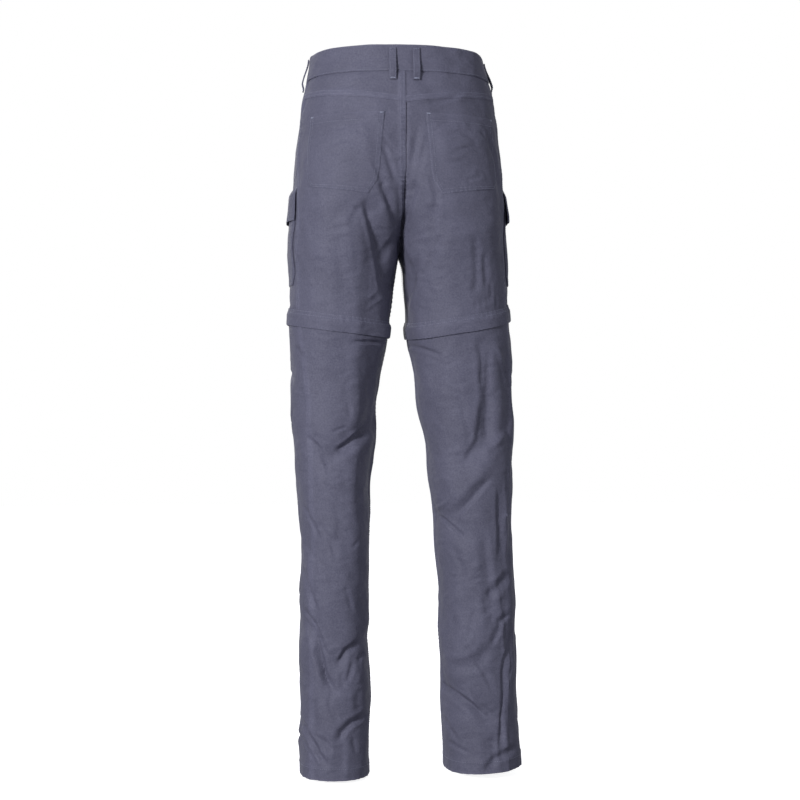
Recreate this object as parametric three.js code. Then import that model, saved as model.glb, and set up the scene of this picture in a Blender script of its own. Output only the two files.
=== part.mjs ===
import * as THREE from 'three';

// Convertible zip-off trousers in their worn, hollow form. Millimetres, +Z up.
// The origin is the middle of the waist opening, level with the top of the waistband.
// The front faces -Y and the wearer's left leg lies at +X.

// Cloth, seams and layers
const clothWall = 1.5;
const bandWall = 2.4;
const zipWall = 1.2;
const seamGap = 0.3;
const layGap = 0.6;
const bandProud = 0.6;
const coverGap = 0.8;

// Heights of the cuts, from the top of the waistband down
const bandHeight = 38.5;
const yokeSideZ = -66;
const yokeDrop = 17.5;
const yokeCurve = 1.6;
const zipHeight = 8;
const coverAbove = 7;
const coverBelow = 18;

// How square the sections are: 2 is an ellipse
const squareness = 2.25;

// Grid of the panels: steps round the leg, and steps down
const stepsRound = { back: 11, front: 17, ring: 28 };
const bandSteps = 14;
const thighSteps = 15;
const lowerSteps = 25;

function table(columns, rows) {
  return rows.map((row) => Object.fromEntries(columns.map((column, i) => [column, row[i]])));
}

const sectionColumns = ['z', 'outer', 'inner', 'front', 'back', 'mid', 'seam'];

// Sections down one side. outer and inner are the ends of the side's ring along X: a negative inner
// end lies past the middle, where the two sides meet at the centre seams. front and back are the
// depths from the side of the leg, mid is how far back that side lies, and seam is how far behind
// it the outseam runs, measured round the leg.
const torsoSections = table(sectionColumns, [
  [0, 128, -128, 97, 104, 0, 6],
  [-40, 136, -131, 101, 108, 0, 10],
  [-75, 143, -127, 103, 112, 0, 18],
  [-110, 149, -112, 104, 116, 0, 24],
  [-150, 153, -82, 104, 119, 0, 32],
  [-200, 156.5, -45, 102, 119, 0, 46],
  [-240, 158, -20, 100, 115, 0, 53],
  [-270, 159, -6.5, 97, 109, 0, 52],
  [-285, 159.5, -2, 95, 105, 0, 51],
  [-294, 160, 0, 94, 103, 0, 50],
]);

const legSections = {
  left: table(sectionColumns, [
    [-312, 160, 3, 92, 99, 0, 50],
    [-345, 161, 8, 89, 94, 0, 50],
    [-375, 162, 13, 86, 90, 1, 51],
    [-410, 161.5, 14, 83, 86, 2, 55],
    [-432, 160.5, 17, 81, 83, 2, 57],
    [-470, 160, 26, 77, 79, 3, 61],
    [-510, 160, 31, 73, 77, 4, 65],
    [-570, 157, 34, 69, 76, 6, 64],
    [-630, 151.5, 40, 65, 75, 8, 60],
    [-700, 146.5, 43, 62, 72, 9, 56],
    [-780, 146, 45, 60, 70, 9, 52],
    [-870, 147.5, 44, 59, 68, 8, 50],
    [-960, 146.5, 43, 60, 67, 7, 50],
    [-1070, 146, 44, 61, 68, 6, 50],
  ]),
  right: table(sectionColumns, [
    [-312, 161, 5, 92, 99, 0, 50],
    [-345, 163, 9, 89, 94, 0, 50],
    [-375, 166, 13, 86, 90, 1, 48],
    [-410, 168, 14, 83, 87, 2, 46],
    [-432, 169, 17, 81, 84, 2, 44],
    [-470, 171, 24, 78, 81, 3, 41],
    [-510, 173, 29, 75, 79, 4, 38],
    [-570, 173, 40, 71, 77, 6, 35],
    [-630, 171, 46, 67, 76, 8, 38],
    [-700, 170, 54, 64, 73, 9, 48],
    [-780, 174, 59.5, 62, 71, 9, 55],
    [-870, 176, 62, 61, 69, 8, 57],
    [-960, 178.5, 65.5, 61, 68, 7, 64],
    [-1070, 186, 69, 62, 69, 6, 72],
  ]),
};

// Lines round each leg: the zip seam and the hem. rise lifts the outer end and lowers the inner
// end, and sag lowers the middle of the back.
const legLines = {
  left: { seam: { z: -390, rise: 9.5, sag: 4 }, hem: { z: -1064, rise: 0, sag: -2 } },
  right: { seam: { z: -387, rise: 14, sag: 7 }, hem: { z: -1055, rise: 3, sag: 1 } },
};

const foldColumns = ['x0', 'z0', 'x1', 'z1', 'width', 'depth'];

// The largest folds, drawn as lines across the back or the front. A positive depth is a trough.
const folds = {
  back: table(foldColumns, [
    [54, -243, 22, -340, 17, 6],
    [88, -246, 68, -345, 18, 3],
    [36, -446, 50, -640, 20, 5],
    [99, -586, 45, -547, 15, 5],
    [141, -563, 108, -614, 14, 3],
    [131, -843, 102, -930, 16, 4],
    [92, -890, 52, -862, 14, 4],
    [-36, -250, -28, -340, 16, 3],
    [-128, -512, -132, -552, 18, 4.5],
    [-132, -552, -91, -599, 18, 4.5],
    [-54, -679, -86, -706, 14, 3.5],
    [-77, -681, -127, -632, 14, 3],
    [-60, -936, -125, -972, 15, 4.5],
  ]),
  front: table(foldColumns, [
    [50, -236, 24, -335, 18, 5],
    [92, -250, 74, -345, 18, 3],
    [46, -450, 98, -482, 17, 4],
    [140, -560, 78, -604, 16, 4],
    [58, -800, 118, -850, 16, 4],
    [-50, -240, -26, -338, 18, 5],
    [-94, -256, -80, -346, 18, 3],
    [-54, -452, -108, -488, 17, 4],
    [-150, -556, -84, -610, 16, 4],
    [-88, -792, -146, -846, 16, 4],
  ]),
};

// Colours and finish
const looks = {
  cloth: { color: 0x62657a, roughness: 0.72, metalness: 0 },
  trim: { color: 0x5b5e72, roughness: 0.76, metalness: 0 },
  zip: { color: 0x3e404c, roughness: 0.55, metalness: 0 },
  metal: { color: 0x8a8c92, roughness: 0.38, metalness: 1 },
  button: { color: 0x4a4c5a, roughness: 0.42, metalness: 0 },
};

const sides = { left: 1, right: -1 };
const part = new THREE.Group();

function readTable(rows, column, z) {
  // Rows run downwards. A cubic runs through them, with the slope at each row taken from its neighbours.
  const last = rows.length - 1;
  if (z >= rows[0].z) return rows[0][column];
  if (z <= rows[last].z) return rows[last][column];
  let i = 0;
  while (rows[i + 1].z > z) i += 1;
  const slope = (k) => {
    const a = rows[Math.max(0, k - 1)];
    const b = rows[Math.min(last, k + 1)];
    return (b[column] - a[column]) / (b.z - a.z);
  };
  const span = rows[i + 1].z - rows[i].z;
  const t = (z - rows[i].z) / span;
  const t2 = t * t;
  const t3 = t2 * t;
  return (2 * t3 - 3 * t2 + 1) * rows[i][column] + (t3 - 2 * t2 + t) * span * slope(i)
    + (3 * t2 - 2 * t3) * rows[i + 1][column] + (t3 - t2) * span * slope(i + 1);
}

const sideTables = {
  left: [...torsoSections, ...legSections.left],
  right: [...torsoSections, ...legSections.right],
};

function roundPower(value) {
  return Math.sign(value) * Math.abs(value) ** (2 / squareness);
}

// Point of the smooth surface. around runs from -1 at the front's centre seam or inseam,
// through 0 at the side seam, to 1 at the back's centre seam or inseam.
function basePoint(side, around, z) {
  const rows = sideTables[side];
  const outer = readTable(rows, 'outer', z);
  const inner = readTable(rows, 'inner', z);
  const depth = readTable(rows, around < 0 ? 'front' : 'back', z);
  const middle = (outer + inner) / 2;
  const half = (outer - inner) / 2;
  const cut = inner < 0 ? middle / half : 1;
  const end = Math.acos(-(Math.min(1, cut) ** (squareness / 2)));
  const angle = around * end;
  const x = middle + half * roundPower(Math.cos(angle));
  const y = depth * roundPower(Math.sin(angle)) + readTable(rows, 'mid', z);
  return new THREE.Vector3(sides[side] * x, y, z);
}

// Steps that measure the surface's slope, and the least distance that tells back from front
const probe = 0.5;
const probeAround = 0.004;
const seamSide = 1e-6;

function baseNormal(side, around, z) {
  const along = basePoint(side, around + probeAround, z).sub(basePoint(side, around - probeAround, z));
  const down = basePoint(side, around, z - probe).sub(basePoint(side, around, z + probe));
  return down.cross(along).multiplyScalar(sides[side]).normalize();
}

// Folds fade out within this distance of the side seams
const foldFade = 25;

// How deep the folds press the cloth in at a point
function foldDepth(point, around) {
  const rows = around < 0 ? folds.front : folds.back;
  const fade = Math.min(1, Math.abs(point.y) / foldFade);
  return rows.reduce((sum, fold) => {
    const dx = fold.x1 - fold.x0;
    const dz = fold.z1 - fold.z0;
    const t = ((point.x - fold.x0) * dx + (point.z - fold.z0) * dz) / (dx * dx + dz * dz);
    const near = Math.min(1, Math.max(0, t));
    const away = Math.hypot(point.x - fold.x0 - near * dx, point.z - fold.z0 - near * dz);
    return sum + fold.depth * fade * Math.exp(-((away / fold.width) ** 2));
  }, 0);
}

// Point of the cloth's outer face, lifted outwards
function clothPoint(side, around, z, lift) {
  const point = basePoint(side, around, z);
  const normal = baseNormal(side, around, z);
  return point.addScaledVector(normal, lift - foldDepth(point, around));
}

const walkSteps = 60;
const settleTurns = 5;

// around value that lies a given distance along the section from the side seam
function aroundAt(side, distance, z) {
  const steps = walkSteps;
  const sign = Math.sign(distance);
  let walked = 0;
  let last = basePoint(side, 0, z);
  for (let i = 1; i <= steps; i += 1) {
    const next = basePoint(side, (sign * i) / steps, z);
    const step = next.distanceTo(last);
    if (walked + step >= Math.abs(distance)) {
      return (sign * (i - 1 + (Math.abs(distance) - walked) / step)) / steps;
    }
    walked += step;
    last = next;
  }
  return sign;
}

// Distance along the section from the side seam to the centre seam or inseam
function halfLength(side, sign, z) {
  let walked = 0;
  let last = basePoint(side, 0, z);
  for (let i = 1; i <= walkSteps; i += 1) {
    const next = basePoint(side, (sign * i) / walkSteps, z);
    walked += next.distanceTo(last);
    last = next;
  }
  return walked;
}

function smooth(from, to, value) {
  const t = Math.min(1, Math.max(0, (value - from) / (to - from)));
  return t * t * (3 - 2 * t);
}

function mix(a, b, t) {
  return a + (b - a) * t;
}

// Closed solid of a grid: place(u, v) gives the outer and inner points. A ring closes on itself in u.
function addShell(name, look, columns, rows, place, ring = false) {
  const across = ring ? columns : columns + 1;
  const points = [];
  for (const face of ['outer', 'inner']) {
    for (let j = 0; j <= rows; j += 1) {
      for (let i = 0; i < across; i += 1) {
        points.push(place(i / columns, j / rows)[face]);
      }
    }
  }
  const layer = across * (rows + 1);
  const at = (i, j, inside) => (i % across) + across * j + (inside ? layer : 0);
  const triangles = [];
  const quad = (a, b, c, d) => triangles.push(a, b, c, a, c, d);
  for (let j = 0; j < rows; j += 1) {
    for (let i = 0; i < columns; i += 1) {
      quad(at(i, j), at(i + 1, j), at(i + 1, j + 1), at(i, j + 1));
      quad(at(i, j, true), at(i, j + 1, true), at(i + 1, j + 1, true), at(i + 1, j, true));
    }
  }
  for (let i = 0; i < columns; i += 1) {
    quad(at(i, 0), at(i, 0, true), at(i + 1, 0, true), at(i + 1, 0));
    quad(at(i, rows), at(i + 1, rows), at(i + 1, rows, true), at(i, rows, true));
  }
  if (!ring) {
    for (let j = 0; j < rows; j += 1) {
      quad(at(0, j), at(0, j + 1), at(0, j + 1, true), at(0, j, true));
      quad(at(columns, j), at(columns, j, true), at(columns, j + 1, true), at(columns, j + 1));
    }
  }
  let volume = 0;
  for (let k = 0; k < triangles.length; k += 3) {
    const [a, b, c] = [0, 1, 2].map((n) => points[triangles[k + n]]);
    volume += a.dot(new THREE.Vector3().crossVectors(b, c));
  }
  if (volume < 0) triangles.reverse();
  const geometry = new THREE.BufferGeometry().setFromPoints(points);
  geometry.setIndex(triangles);
  addMesh(name, look, geometry);
}

function addMesh(name, look, geometry) {
  geometry.computeVertexNormals();
  const mesh = new THREE.Mesh(geometry, new THREE.MeshStandardMaterial(looks[look]));
  mesh.name = name;
  part.add(mesh);
  return mesh;
}

// Outer and inner points of a wall whose outer face is lifted off the smooth surface.
// Panels keep half a seam's gap to the centre plane, and to the inseam by the last value.
function wallPoints(side, around, z, lift, wall, inseam = 0) {
  const shift = new THREE.Vector3((sides[side] * seamGap) / 2, (inseam * seamGap) / 2, 0);
  const outer = clothPoint(side, around, z, lift).add(shift);
  const inner = outer.clone().addScaledVector(baseNormal(side, around, z), -wall);
  return { outer, inner };
}

function yokeLine(u) {
  return yokeSideZ - yokeDrop * u ** yokeCurve;
}

// around value of a panel's column u at height z: 0 is the outseam, 1 the centre seam or inseam
function panelAround(side, face, u, z) {
  const distance = readTable(sideTables[side], 'seam', z) + (face * seamGap) / 2;
  return mix(aroundAt(side, distance, z), face, u);
}

function legLine(line, around) {
  const sag = around > 0 ? line.sag * Math.sin(Math.PI * around) : 0;
  return line.z + line.rise * Math.cos(Math.PI * around) - sag;
}

// Height of a leg line in a panel's column: the column leans with the outseam, so it is found by turns
function columnHeight(side, face, line, u) {
  let z = line.z;
  for (let turn = 0; turn < settleTurns; turn += 1) {
    z = legLine(line, panelAround(side, face, u, z));
  }
  return z;
}

// One quarter panel between cut lines, with a number of steps above each line but the first.
// face is 1 on the back and -1 on the front.
function addPanel(name, side, face, lines, steps) {
  const rows = steps.reduce((sum, count) => sum + count, 0);
  const levelAt = (u, v) => {
    let row = v * rows;
    let k = 0;
    while (row > steps[k] + seamSide) {
      row -= steps[k];
      k += 1;
    }
    const last = lines.length - 1;
    const top = lines[k](u) - (k === 0 ? seamGap / 2 : 0);
    const bottom = lines[k + 1](u) + (k + 1 === last ? seamGap / 2 : 0);
    return mix(top, bottom, row / steps[k]);
  };
  const columns = face > 0 ? stepsRound.back : stepsRound.front;
  addShell(name, 'cloth', columns, rows, (u, v) => {
    const z = levelAt(u, v);
    return wallPoints(side, panelAround(side, face, u, z), z, 0, clothWall, face * u);
  });
}

// Waistband, in one length from the front's left end round to the right end, which runs on
// under the left end as the button stand.
// Turns are quarters of the way round.
const fullTurn = 4;
const standLength = 0.2;
const standDrop = bandWall + layGap;

function bandPlace(turn) {
  const wrapped = turn >= fullTurn ? turn - fullTurn : turn;
  const onLeft = wrapped < fullTurn / 2;
  return { side: onLeft ? 'left' : 'right', around: onLeft ? wrapped - 1 : 3 - wrapped };
}

function addWaistband() {
  const columns = fullTurn * bandSteps + 3;
  const turnEnd = fullTurn + standLength;
  addShell('waistband', 'trim', columns, 2, (u, v) => {
    const turn = u * turnEnd;
    const { side, around } = bandPlace(turn);
    const under = standDrop * smooth(fullTurn - standLength * 1.5, fullTurn - standLength / 4, turn);
    const z = -v * (bandHeight - seamGap / 2);
    return wallPoints(side, around, z, bandProud - under, bandWall);
  });
}

// Patch of cloth that lies on the panels. place(u, v) gives the distance round from the side
// seam, the height and how far the patch stands off beyond the lay gap.
function addPatch(name, side, look, columns, rows, place, wall = clothWall) {
  addShell(name, look, columns, rows, (u, v) => {
    const { distance, z, stand } = place(u, v);
    const around = aroundAt(side, distance, z);
    const lift = layGap + stand + wall;
    const outer = clothPoint(side, around, z, lift);
    const inner = outer.clone().addScaledVector(baseNormal(side, around, z), -wall);
    return { outer, inner };
  });
}

// Belt loops: a strip sewn at both ends and bowed off the waistband between them
const loopWidth = 10;
const loopTop = -5;
const loopBottom = -52;
const loopBow = 6.2;
// Shares of the loop's length where it is sewn down and where it first stands free
const loopSewn = 0.04;
const loopFree = 0.3;
const loopSteps = 12;
const backLoopFromCentre = 17;
const sideLoopBehindSeam = 3;
const frontLoopFromCentre = 62;
const loopPlaces = {
  back: (side, z) => halfLength(side, 1, z) - backLoopFromCentre,
  side: () => sideLoopBehindSeam,
  front: (side, z) => frontLoopFromCentre - halfLength(side, -1, z),
};

function addLoop(name, side, centreAt) {
  addPatch(name, side, 'trim', 2, loopSteps, (u, v) => {
    const bow = loopBow * smooth(loopSewn, loopFree, v) * smooth(1 - loopSewn, 1 - loopFree, v);
    const step = bandProud + layGap / 2;
    const z = mix(loopTop, loopBottom, v);
    return { distance: centreAt(side, z) + (u - 0.5) * loopWidth, z, stand: step + bow };
  });
}

// Back patch pocket, with its lower corners cut off. Distances run from the centre seam.
const pocketRows = table(['z', 'inner', 'outer', 'lowerOuter'], [
  [-99, 29, 151, 0],
  [-125, 32, 151, 0],
  [-155, 35, 153, 1],
  [-180, 38, 154.5, 3],
  [-196, 42, 154, 6],
  [-206, 50, 151, 9],
  [-216, 58, 144, 12],
]);

const pocketStand = 0.2;

function addBackPocket(side) {
  const rows = pocketRows.length - 1;
  addPatch(`back_pocket_${side}`, side, 'cloth', 8, rows, (u, v) => {
    const row = pocketRows[Math.round(v * rows)];
    const z = row.z + row.lowerOuter * u;
    const edge = halfLength(side, 1, z);
    return { distance: edge - mix(row.inner, row.outer, u), z, stand: pocketStand };
  });
}

// Cargo pocket over the side seam and its flap
const cargoBack = 42;
const cargoFront = -108;
const cargoTop = -212;
const cargoBottom = -341;
const cargoPuff = 3;
const cargoCorner = 8;
const cargoFlat = 0.7;
const cargoCornerStart = 0.86;
const flapOver = 3;
const flapRows = table(['z', 'clear', 'stand'], [
  [-201, 0, 0],
  [-209, 1, 0],
  [-228, 1, 1.4],
  [-247, 1, 2.8],
]);

function pillow(u) {
  return Math.sqrt(Math.sin(Math.PI * u));
}

function addCargo(side) {
  addPatch(`cargo_pocket_${side}`, side, 'cloth', 10, 7, (u, v) => {
    const puff = cargoPuff * pillow(u) * smooth(1, cargoFlat, v);
    const corner = cargoCorner * smooth(cargoCornerStart, 1, v) * (1 - 2 * u);
    const distance = mix(cargoFront, cargoBack, u) + corner;
    return { distance, z: mix(cargoTop, cargoBottom, v), stand: puff };
  });
  addPatch(`cargo_flap_${side}`, side, 'cloth', 10, flapRows.length - 1, (u, v) => {
    const row = flapRows[Math.round(v * (flapRows.length - 1))];
    const stand = row.clear * (clothWall + layGap + cargoPuff * pillow(u)) + row.stand * pillow(u);
    return { distance: mix(cargoFront - flapOver, cargoBack + flapOver, u), z: row.z, stand };
  });
}

// Zip-off line: the zip that joins the two lengths of a leg, the cover sewn above it, and the
// slider that lies under the cover.
const sliderAround = { left: 0.86, right: -0.2 };
const sliderSize = { width: 7, height: 10, thick: 1.8 };
const coverRows = 4;
const coverStand = 1.2;
const coverBulge = 1.5;
const coverSpread = 0.11;

function addKnee(side) {
  const seam = legLines[side].seam;
  const columns = stepsRound.ring;
  const ringAround = (u) => 1 - 2 * u + seamSide;
  addShell(`knee_zip_${side}`, 'zip', columns, 1, (u, v) => {
    const around = ringAround(u);
    const top = legLine(seam, around) - seamGap;
    return wallPoints(side, around, mix(top, top - zipHeight + seamGap, v), 0, zipWall);
  }, true);
  addShell(`knee_cover_${side}`, 'cloth', columns, coverRows, (u, v) => {
    const around = ringAround(u);
    const line = legLine(seam, around);
    const bulge = coverBulge * Math.exp(-(((around - sliderAround[side]) / coverSpread) ** 2));
    const stand = coverGap + (coverStand + bulge) * smooth(0, 1 / coverRows, v);
    const z = mix(line + coverAbove, line - coverBelow, v);
    return wallPoints(side, around, z, stand + clothWall, clothWall);
  }, true);
  addSlider(side, seam);
}

function addSlider(side, seam) {
  const around = sliderAround[side];
  const { width, height, thick } = sliderSize;
  const corner = 2;
  const bevel = 0.4;
  const outline = new THREE.Shape();
  outline.moveTo(-width / 2 + bevel, -height / 2 + corner);
  outline.lineTo(-width / 4, -height / 2 + bevel);
  outline.lineTo(width / 4, -height / 2 + bevel);
  outline.lineTo(width / 2 - bevel, -height / 2 + corner);
  outline.lineTo(width / 2 - bevel, height / 2 - bevel);
  outline.lineTo(-width / 2 + bevel, height / 2 - bevel);
  outline.closePath();
  const options = { depth: thick - 2 * bevel, bevelThickness: bevel, bevelSize: bevel, bevelSegments: 1 };
  const mesh = addMesh(`zip_slider_${side}`, 'metal', new THREE.ExtrudeGeometry(outline, options));
  const z = legLine(seam, around) - zipHeight / 2;
  const normal = baseNormal(side, around, z);
  mesh.position.copy(clothPoint(side, around, z, layGap + bevel));
  const up = new THREE.Vector3(0, 0, 1).addScaledVector(normal, -normal.z).normalize();
  const across = new THREE.Vector3().crossVectors(up, normal);
  mesh.quaternion.setFromRotationMatrix(new THREE.Matrix4().makeBasis(across, up, normal));
}

// Fly: the zip beside the centre seam and the flap sewn over it
const flyBottom = -176;
const flyWidth = 36;
const flyZipWidth = 7;
const flyStart = 1.5;
// The flap's lower end curves in, and it is raised over the zip and flat beyond it.
const flyTaper = 0.8;
const flyCurveStart = 0.6;
const flyRaised = 0.35;
const flyFlat = 0.75;
const flyZipInset = 2;
const flyZipShort = 14;
const flyTop = -bandHeight - 1.5;

function flyEdge(side, z) {
  return -halfLength(side, -1, z);
}

function addFly() {
  addPatch('fly_zip', 'left', 'zip', 1, 7, (u, v) => {
    const z = mix(flyTop, flyBottom + flyZipShort, v);
    return { distance: flyEdge('left', z) + flyStart + flyZipInset + u * flyZipWidth, z, stand: 0 };
  }, zipWall);
  addPatch('fly_flap', 'left', 'cloth', 4, 9, (u, v) => {
    const z = mix(flyTop, flyBottom, v);
    const width = flyWidth * Math.sqrt(1 - flyTaper * smooth(flyCurveStart, 1, v));
    const over = (zipWall + 2 * layGap) * smooth(flyFlat, flyRaised, (u * width) / flyWidth);
    return { distance: flyEdge('left', z) + flyStart + u * width, z, stand: over };
  });
}

const buttonFromCentre = 15;

function addButton() {
  const radius = 8;
  const rim = 3;
  const profile = [[0, 0], [radius - 1.2, 0], [radius, 0.9], [radius, 2.1], [radius - 0.8, rim],
    [radius - 2, rim], [radius - 3, rim - 0.8], [0, rim - 0.8]].map(([x, y]) => new THREE.Vector2(x, y));
  const mesh = addMesh('waist_button', 'button', new THREE.LatheGeometry(profile, 24));
  const z = -bandHeight / 2;
  const around = aroundAt('left', buttonFromCentre - halfLength('left', -1, z), z);
  const normal = baseNormal('left', around, z);
  mesh.position.copy(clothPoint('left', around, z, bandProud + layGap));
  mesh.quaternion.setFromUnitVectors(new THREE.Vector3(0, 1, 0), normal);
}

addWaistband();
for (const side of Object.keys(sides)) {
  const { seam, hem } = legLines[side];
  const bandLine = () => -bandHeight;
  const yokeEnd = () => yokeSideZ;
  addPanel(`yoke_${side}`, side, 1, [bandLine, yokeLine], [1]);
  addPanel(`back_${side}`, side, 1, [yokeLine, (u) => columnHeight(side, 1, seam, u)], [thighSteps]);
  addPanel(`front_${side}`, side, -1, [bandLine, yokeEnd, (u) => columnHeight(side, -1, seam, u)],
    [1, thighSteps]);
  for (const [face, name] of [[1, 'back'], [-1, 'front']]) {
    const lowerTop = { ...seam, z: seam.z - zipHeight - seamGap };
    addPanel(`lower_${name}_${side}`, side, face,
      [(u) => columnHeight(side, face, lowerTop, u), (u) => columnHeight(side, face, hem, u)], [lowerSteps]);
  }
  for (const [place, centreAt] of Object.entries(loopPlaces)) {
    addLoop(`belt_loop_${place}_${side}`, side, centreAt);
  }
  addBackPocket(side);
  addCargo(side);
  addKnee(side);
}
addFly();
addButton();

export default part;
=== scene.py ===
import math
import bpy
import numpy as np
from mathutils import Matrix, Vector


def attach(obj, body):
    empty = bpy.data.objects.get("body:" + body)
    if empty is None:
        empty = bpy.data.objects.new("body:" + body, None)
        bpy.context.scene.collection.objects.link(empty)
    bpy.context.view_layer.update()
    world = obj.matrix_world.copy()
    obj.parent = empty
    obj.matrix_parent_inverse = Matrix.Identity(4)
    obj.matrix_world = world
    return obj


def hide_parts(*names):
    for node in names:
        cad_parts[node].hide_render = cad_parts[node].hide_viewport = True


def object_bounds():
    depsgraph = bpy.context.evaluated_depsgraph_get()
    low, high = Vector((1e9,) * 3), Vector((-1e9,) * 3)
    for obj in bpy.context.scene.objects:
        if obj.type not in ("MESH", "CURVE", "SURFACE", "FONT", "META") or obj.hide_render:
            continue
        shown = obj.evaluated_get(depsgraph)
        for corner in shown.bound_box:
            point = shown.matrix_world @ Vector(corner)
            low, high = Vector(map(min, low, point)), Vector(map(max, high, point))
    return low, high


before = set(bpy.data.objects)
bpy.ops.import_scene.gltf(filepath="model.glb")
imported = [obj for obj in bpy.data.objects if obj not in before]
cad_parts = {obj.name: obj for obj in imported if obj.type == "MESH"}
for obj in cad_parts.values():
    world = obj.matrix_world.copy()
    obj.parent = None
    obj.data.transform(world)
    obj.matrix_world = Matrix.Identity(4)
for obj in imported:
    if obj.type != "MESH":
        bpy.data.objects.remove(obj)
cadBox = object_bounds()
print("frame loaded with", len(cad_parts), "nodes")

# Convertible zip-off trousers, worn and hollow. Sizes are in millimetres until a mesh is made.
# The front faces -Y and the wearer's left leg lies at +X.
mm = 0.001
sides = {"left": 1, "right": -1}
squareness = 2.25            # 2 would give elliptical sections
tiny = 1e-9

cloth = {
    "thick": 0.6, "seamGap": 0.3, "underlap": 0.8,
    "lapOver": 1.0, "lapLift": 0.68, "lapWidth": 8.0, "lapSlope": 2.0,   # felled seams
    "hem": 18, "hemLift": 0.7, "hemRow": 17, "hemRowLift": 0.75,
    "spacingBack": 2.3, "spacingFront": 3.0,                            # mesh steps
}

columns = ["z", "outer", "inner", "front", "back", "mid", "seam"]
torsoSections = [
    [0, 128, -128, 97, 104, 0, 6], [-40, 136, -131, 101, 108, 0, 10],
    [-75, 143, -127, 103, 112, 0, 18], [-110, 149, -112, 104, 116, 0, 24],
    [-150, 153, -82, 104, 119, 0, 32], [-200, 156.5, -45, 102, 119, 0, 46],
    [-240, 158, -20, 100, 115, 0, 53], [-270, 159, -6.5, 97, 109, 0, 52],
    [-285, 159.5, -2, 95, 105, 0, 51], [-294, 160, 0, 94, 103, 0, 50],
]
legSections = {
    "left": [
        [-312, 160, 3, 92, 99, 0, 50], [-345, 161, 8, 89, 94, 0, 50],
        [-375, 162, 13, 86, 90, 1, 51], [-410, 161.5, 14, 83, 86, 2, 55],
        [-432, 160.5, 17, 81, 83, 2, 57], [-470, 160, 26, 77, 79, 3, 61],
        [-510, 160, 31, 73, 77, 4, 65], [-570, 157, 34, 69, 76, 6, 64],
        [-630, 151.5, 40, 65, 75, 8, 60], [-700, 146.5, 43, 62, 72, 9, 56],
        [-780, 146, 45, 60, 70, 9, 52], [-870, 147.5, 44, 59, 68, 8, 50],
        [-960, 146.5, 43, 60, 67, 7, 50], [-1070, 146, 44, 61, 68, 6, 50],
    ],
    "right": [
        [-312, 161, 5, 92, 99, 0, 50], [-345, 163, 9, 89, 94, 0, 50],
        [-375, 166, 13, 86, 90, 1, 48], [-410, 168, 14, 83, 87, 2, 46],
        [-432, 169, 17, 81, 84, 2, 44], [-470, 171, 24, 78, 81, 3, 41],
        [-510, 173, 29, 75, 79, 4, 38], [-570, 173, 40, 71, 77, 6, 35],
        [-630, 171, 46, 67, 76, 8, 38], [-700, 170, 54, 64, 73, 9, 48],
        [-780, 174, 59.5, 62, 71, 9, 55], [-870, 176, 62, 61, 69, 8, 57],
        [-960, 178.5, 65.5, 61, 68, 7, 64], [-1070, 186, 69, 62, 69, 6, 72],
    ],
}

# Zip-off line and hem of each leg: rise lifts the outer end and lowers the inner one
legLines = {
    "left": {"seam": {"z": -390, "rise": 9.5, "sag": 4}, "hem": {"z": -1064, "rise": 0, "sag": -2}},
    "right": {"seam": {"z": -387, "rise": 14, "sag": 7}, "hem": {"z": -1055, "rise": 3, "sag": 1}},
}
cuts = {"band": -38.5, "yokeSide": -66, "yokeDrop": 17.5, "yokeCurve": 1.6, "zipHeight": 8}


def smooth(start, end, value):
    t = np.clip((value - start) / (end - start), 0, 1)
    return t * t * (3 - 2 * t)


def mix(a, b, t):
    return a + (b - a) * t


def bell(away, reach):
    return np.exp(-(away / reach) ** 2)


def fineTable(rows):
    # a cubic through the rows, read every millimetre
    rows = np.array(rows, float)
    z = rows[:, 0]
    last = len(z) - 1
    before = np.maximum(np.arange(last + 1) - 1, 0)
    after = np.minimum(np.arange(last + 1) + 1, last)
    fine = np.arange(z[0], z[-1] - 1, -1.0)
    i = np.clip(np.searchsorted(-z, -fine, side="right") - 1, 0, last - 1)
    span = z[i + 1] - z[i]
    t = (fine - z[i]) / span
    made = {"z": fine}
    for c, name in enumerate(columns[1:], 1):
        value = rows[:, c]
        slope = (value[after] - value[before]) / (z[after] - z[before])
        made[name] = ((2 * t**3 - 3 * t**2 + 1) * value[i] + (t**3 - 2 * t**2 + t) * span * slope[i]
                      + (3 * t**2 - 2 * t**3) * value[i + 1] + (t**3 - t**2) * span * slope[i + 1])
    return made


sections = {side: fineTable(torsoSections + legSections[side]) for side in sides}


def read(side, column, z):
    return np.interp(-z, -sections[side]["z"], sections[side][column])


def roundPower(value):
    return np.sign(value) * np.abs(value) ** (2 / squareness)


# around runs from -1 at the front's centre seam or inseam, through 0 at the side, to 1 at the back's
def basePoint(side, around, z):
    outer, inner = read(side, "outer", z), read(side, "inner", z)
    depth = np.where(around < 0, read(side, "front", z), read(side, "back", z))
    middle, half = (outer + inner) / 2, (outer - inner) / 2
    cut = np.clip(middle / half, 0, 1)
    angle = around * np.arccos(-cut ** (squareness / 2))
    x = middle + half * roundPower(np.cos(angle))
    y = depth * roundPower(np.sin(angle)) + read(side, "mid", z)
    return np.stack([sides[side] * x, y, z + 0 * x], -1)


def baseNormal(side, around, z):
    stepAround, stepDown = 0.004, 0.5
    along = basePoint(side, around + stepAround, z) - basePoint(side, around - stepAround, z)
    down = basePoint(side, around, z - stepDown) - basePoint(side, around, z + stepDown)
    normal = np.cross(down, along) * sides[side]
    return normal / np.linalg.norm(normal, axis=-1, keepdims=True)


# Lengths round each section, so that a place can be given in millimetres from the side
walkSteps = 64
walkDrop = 4.0
walkHeights = np.arange(6, -1086, -walkDrop)


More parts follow.
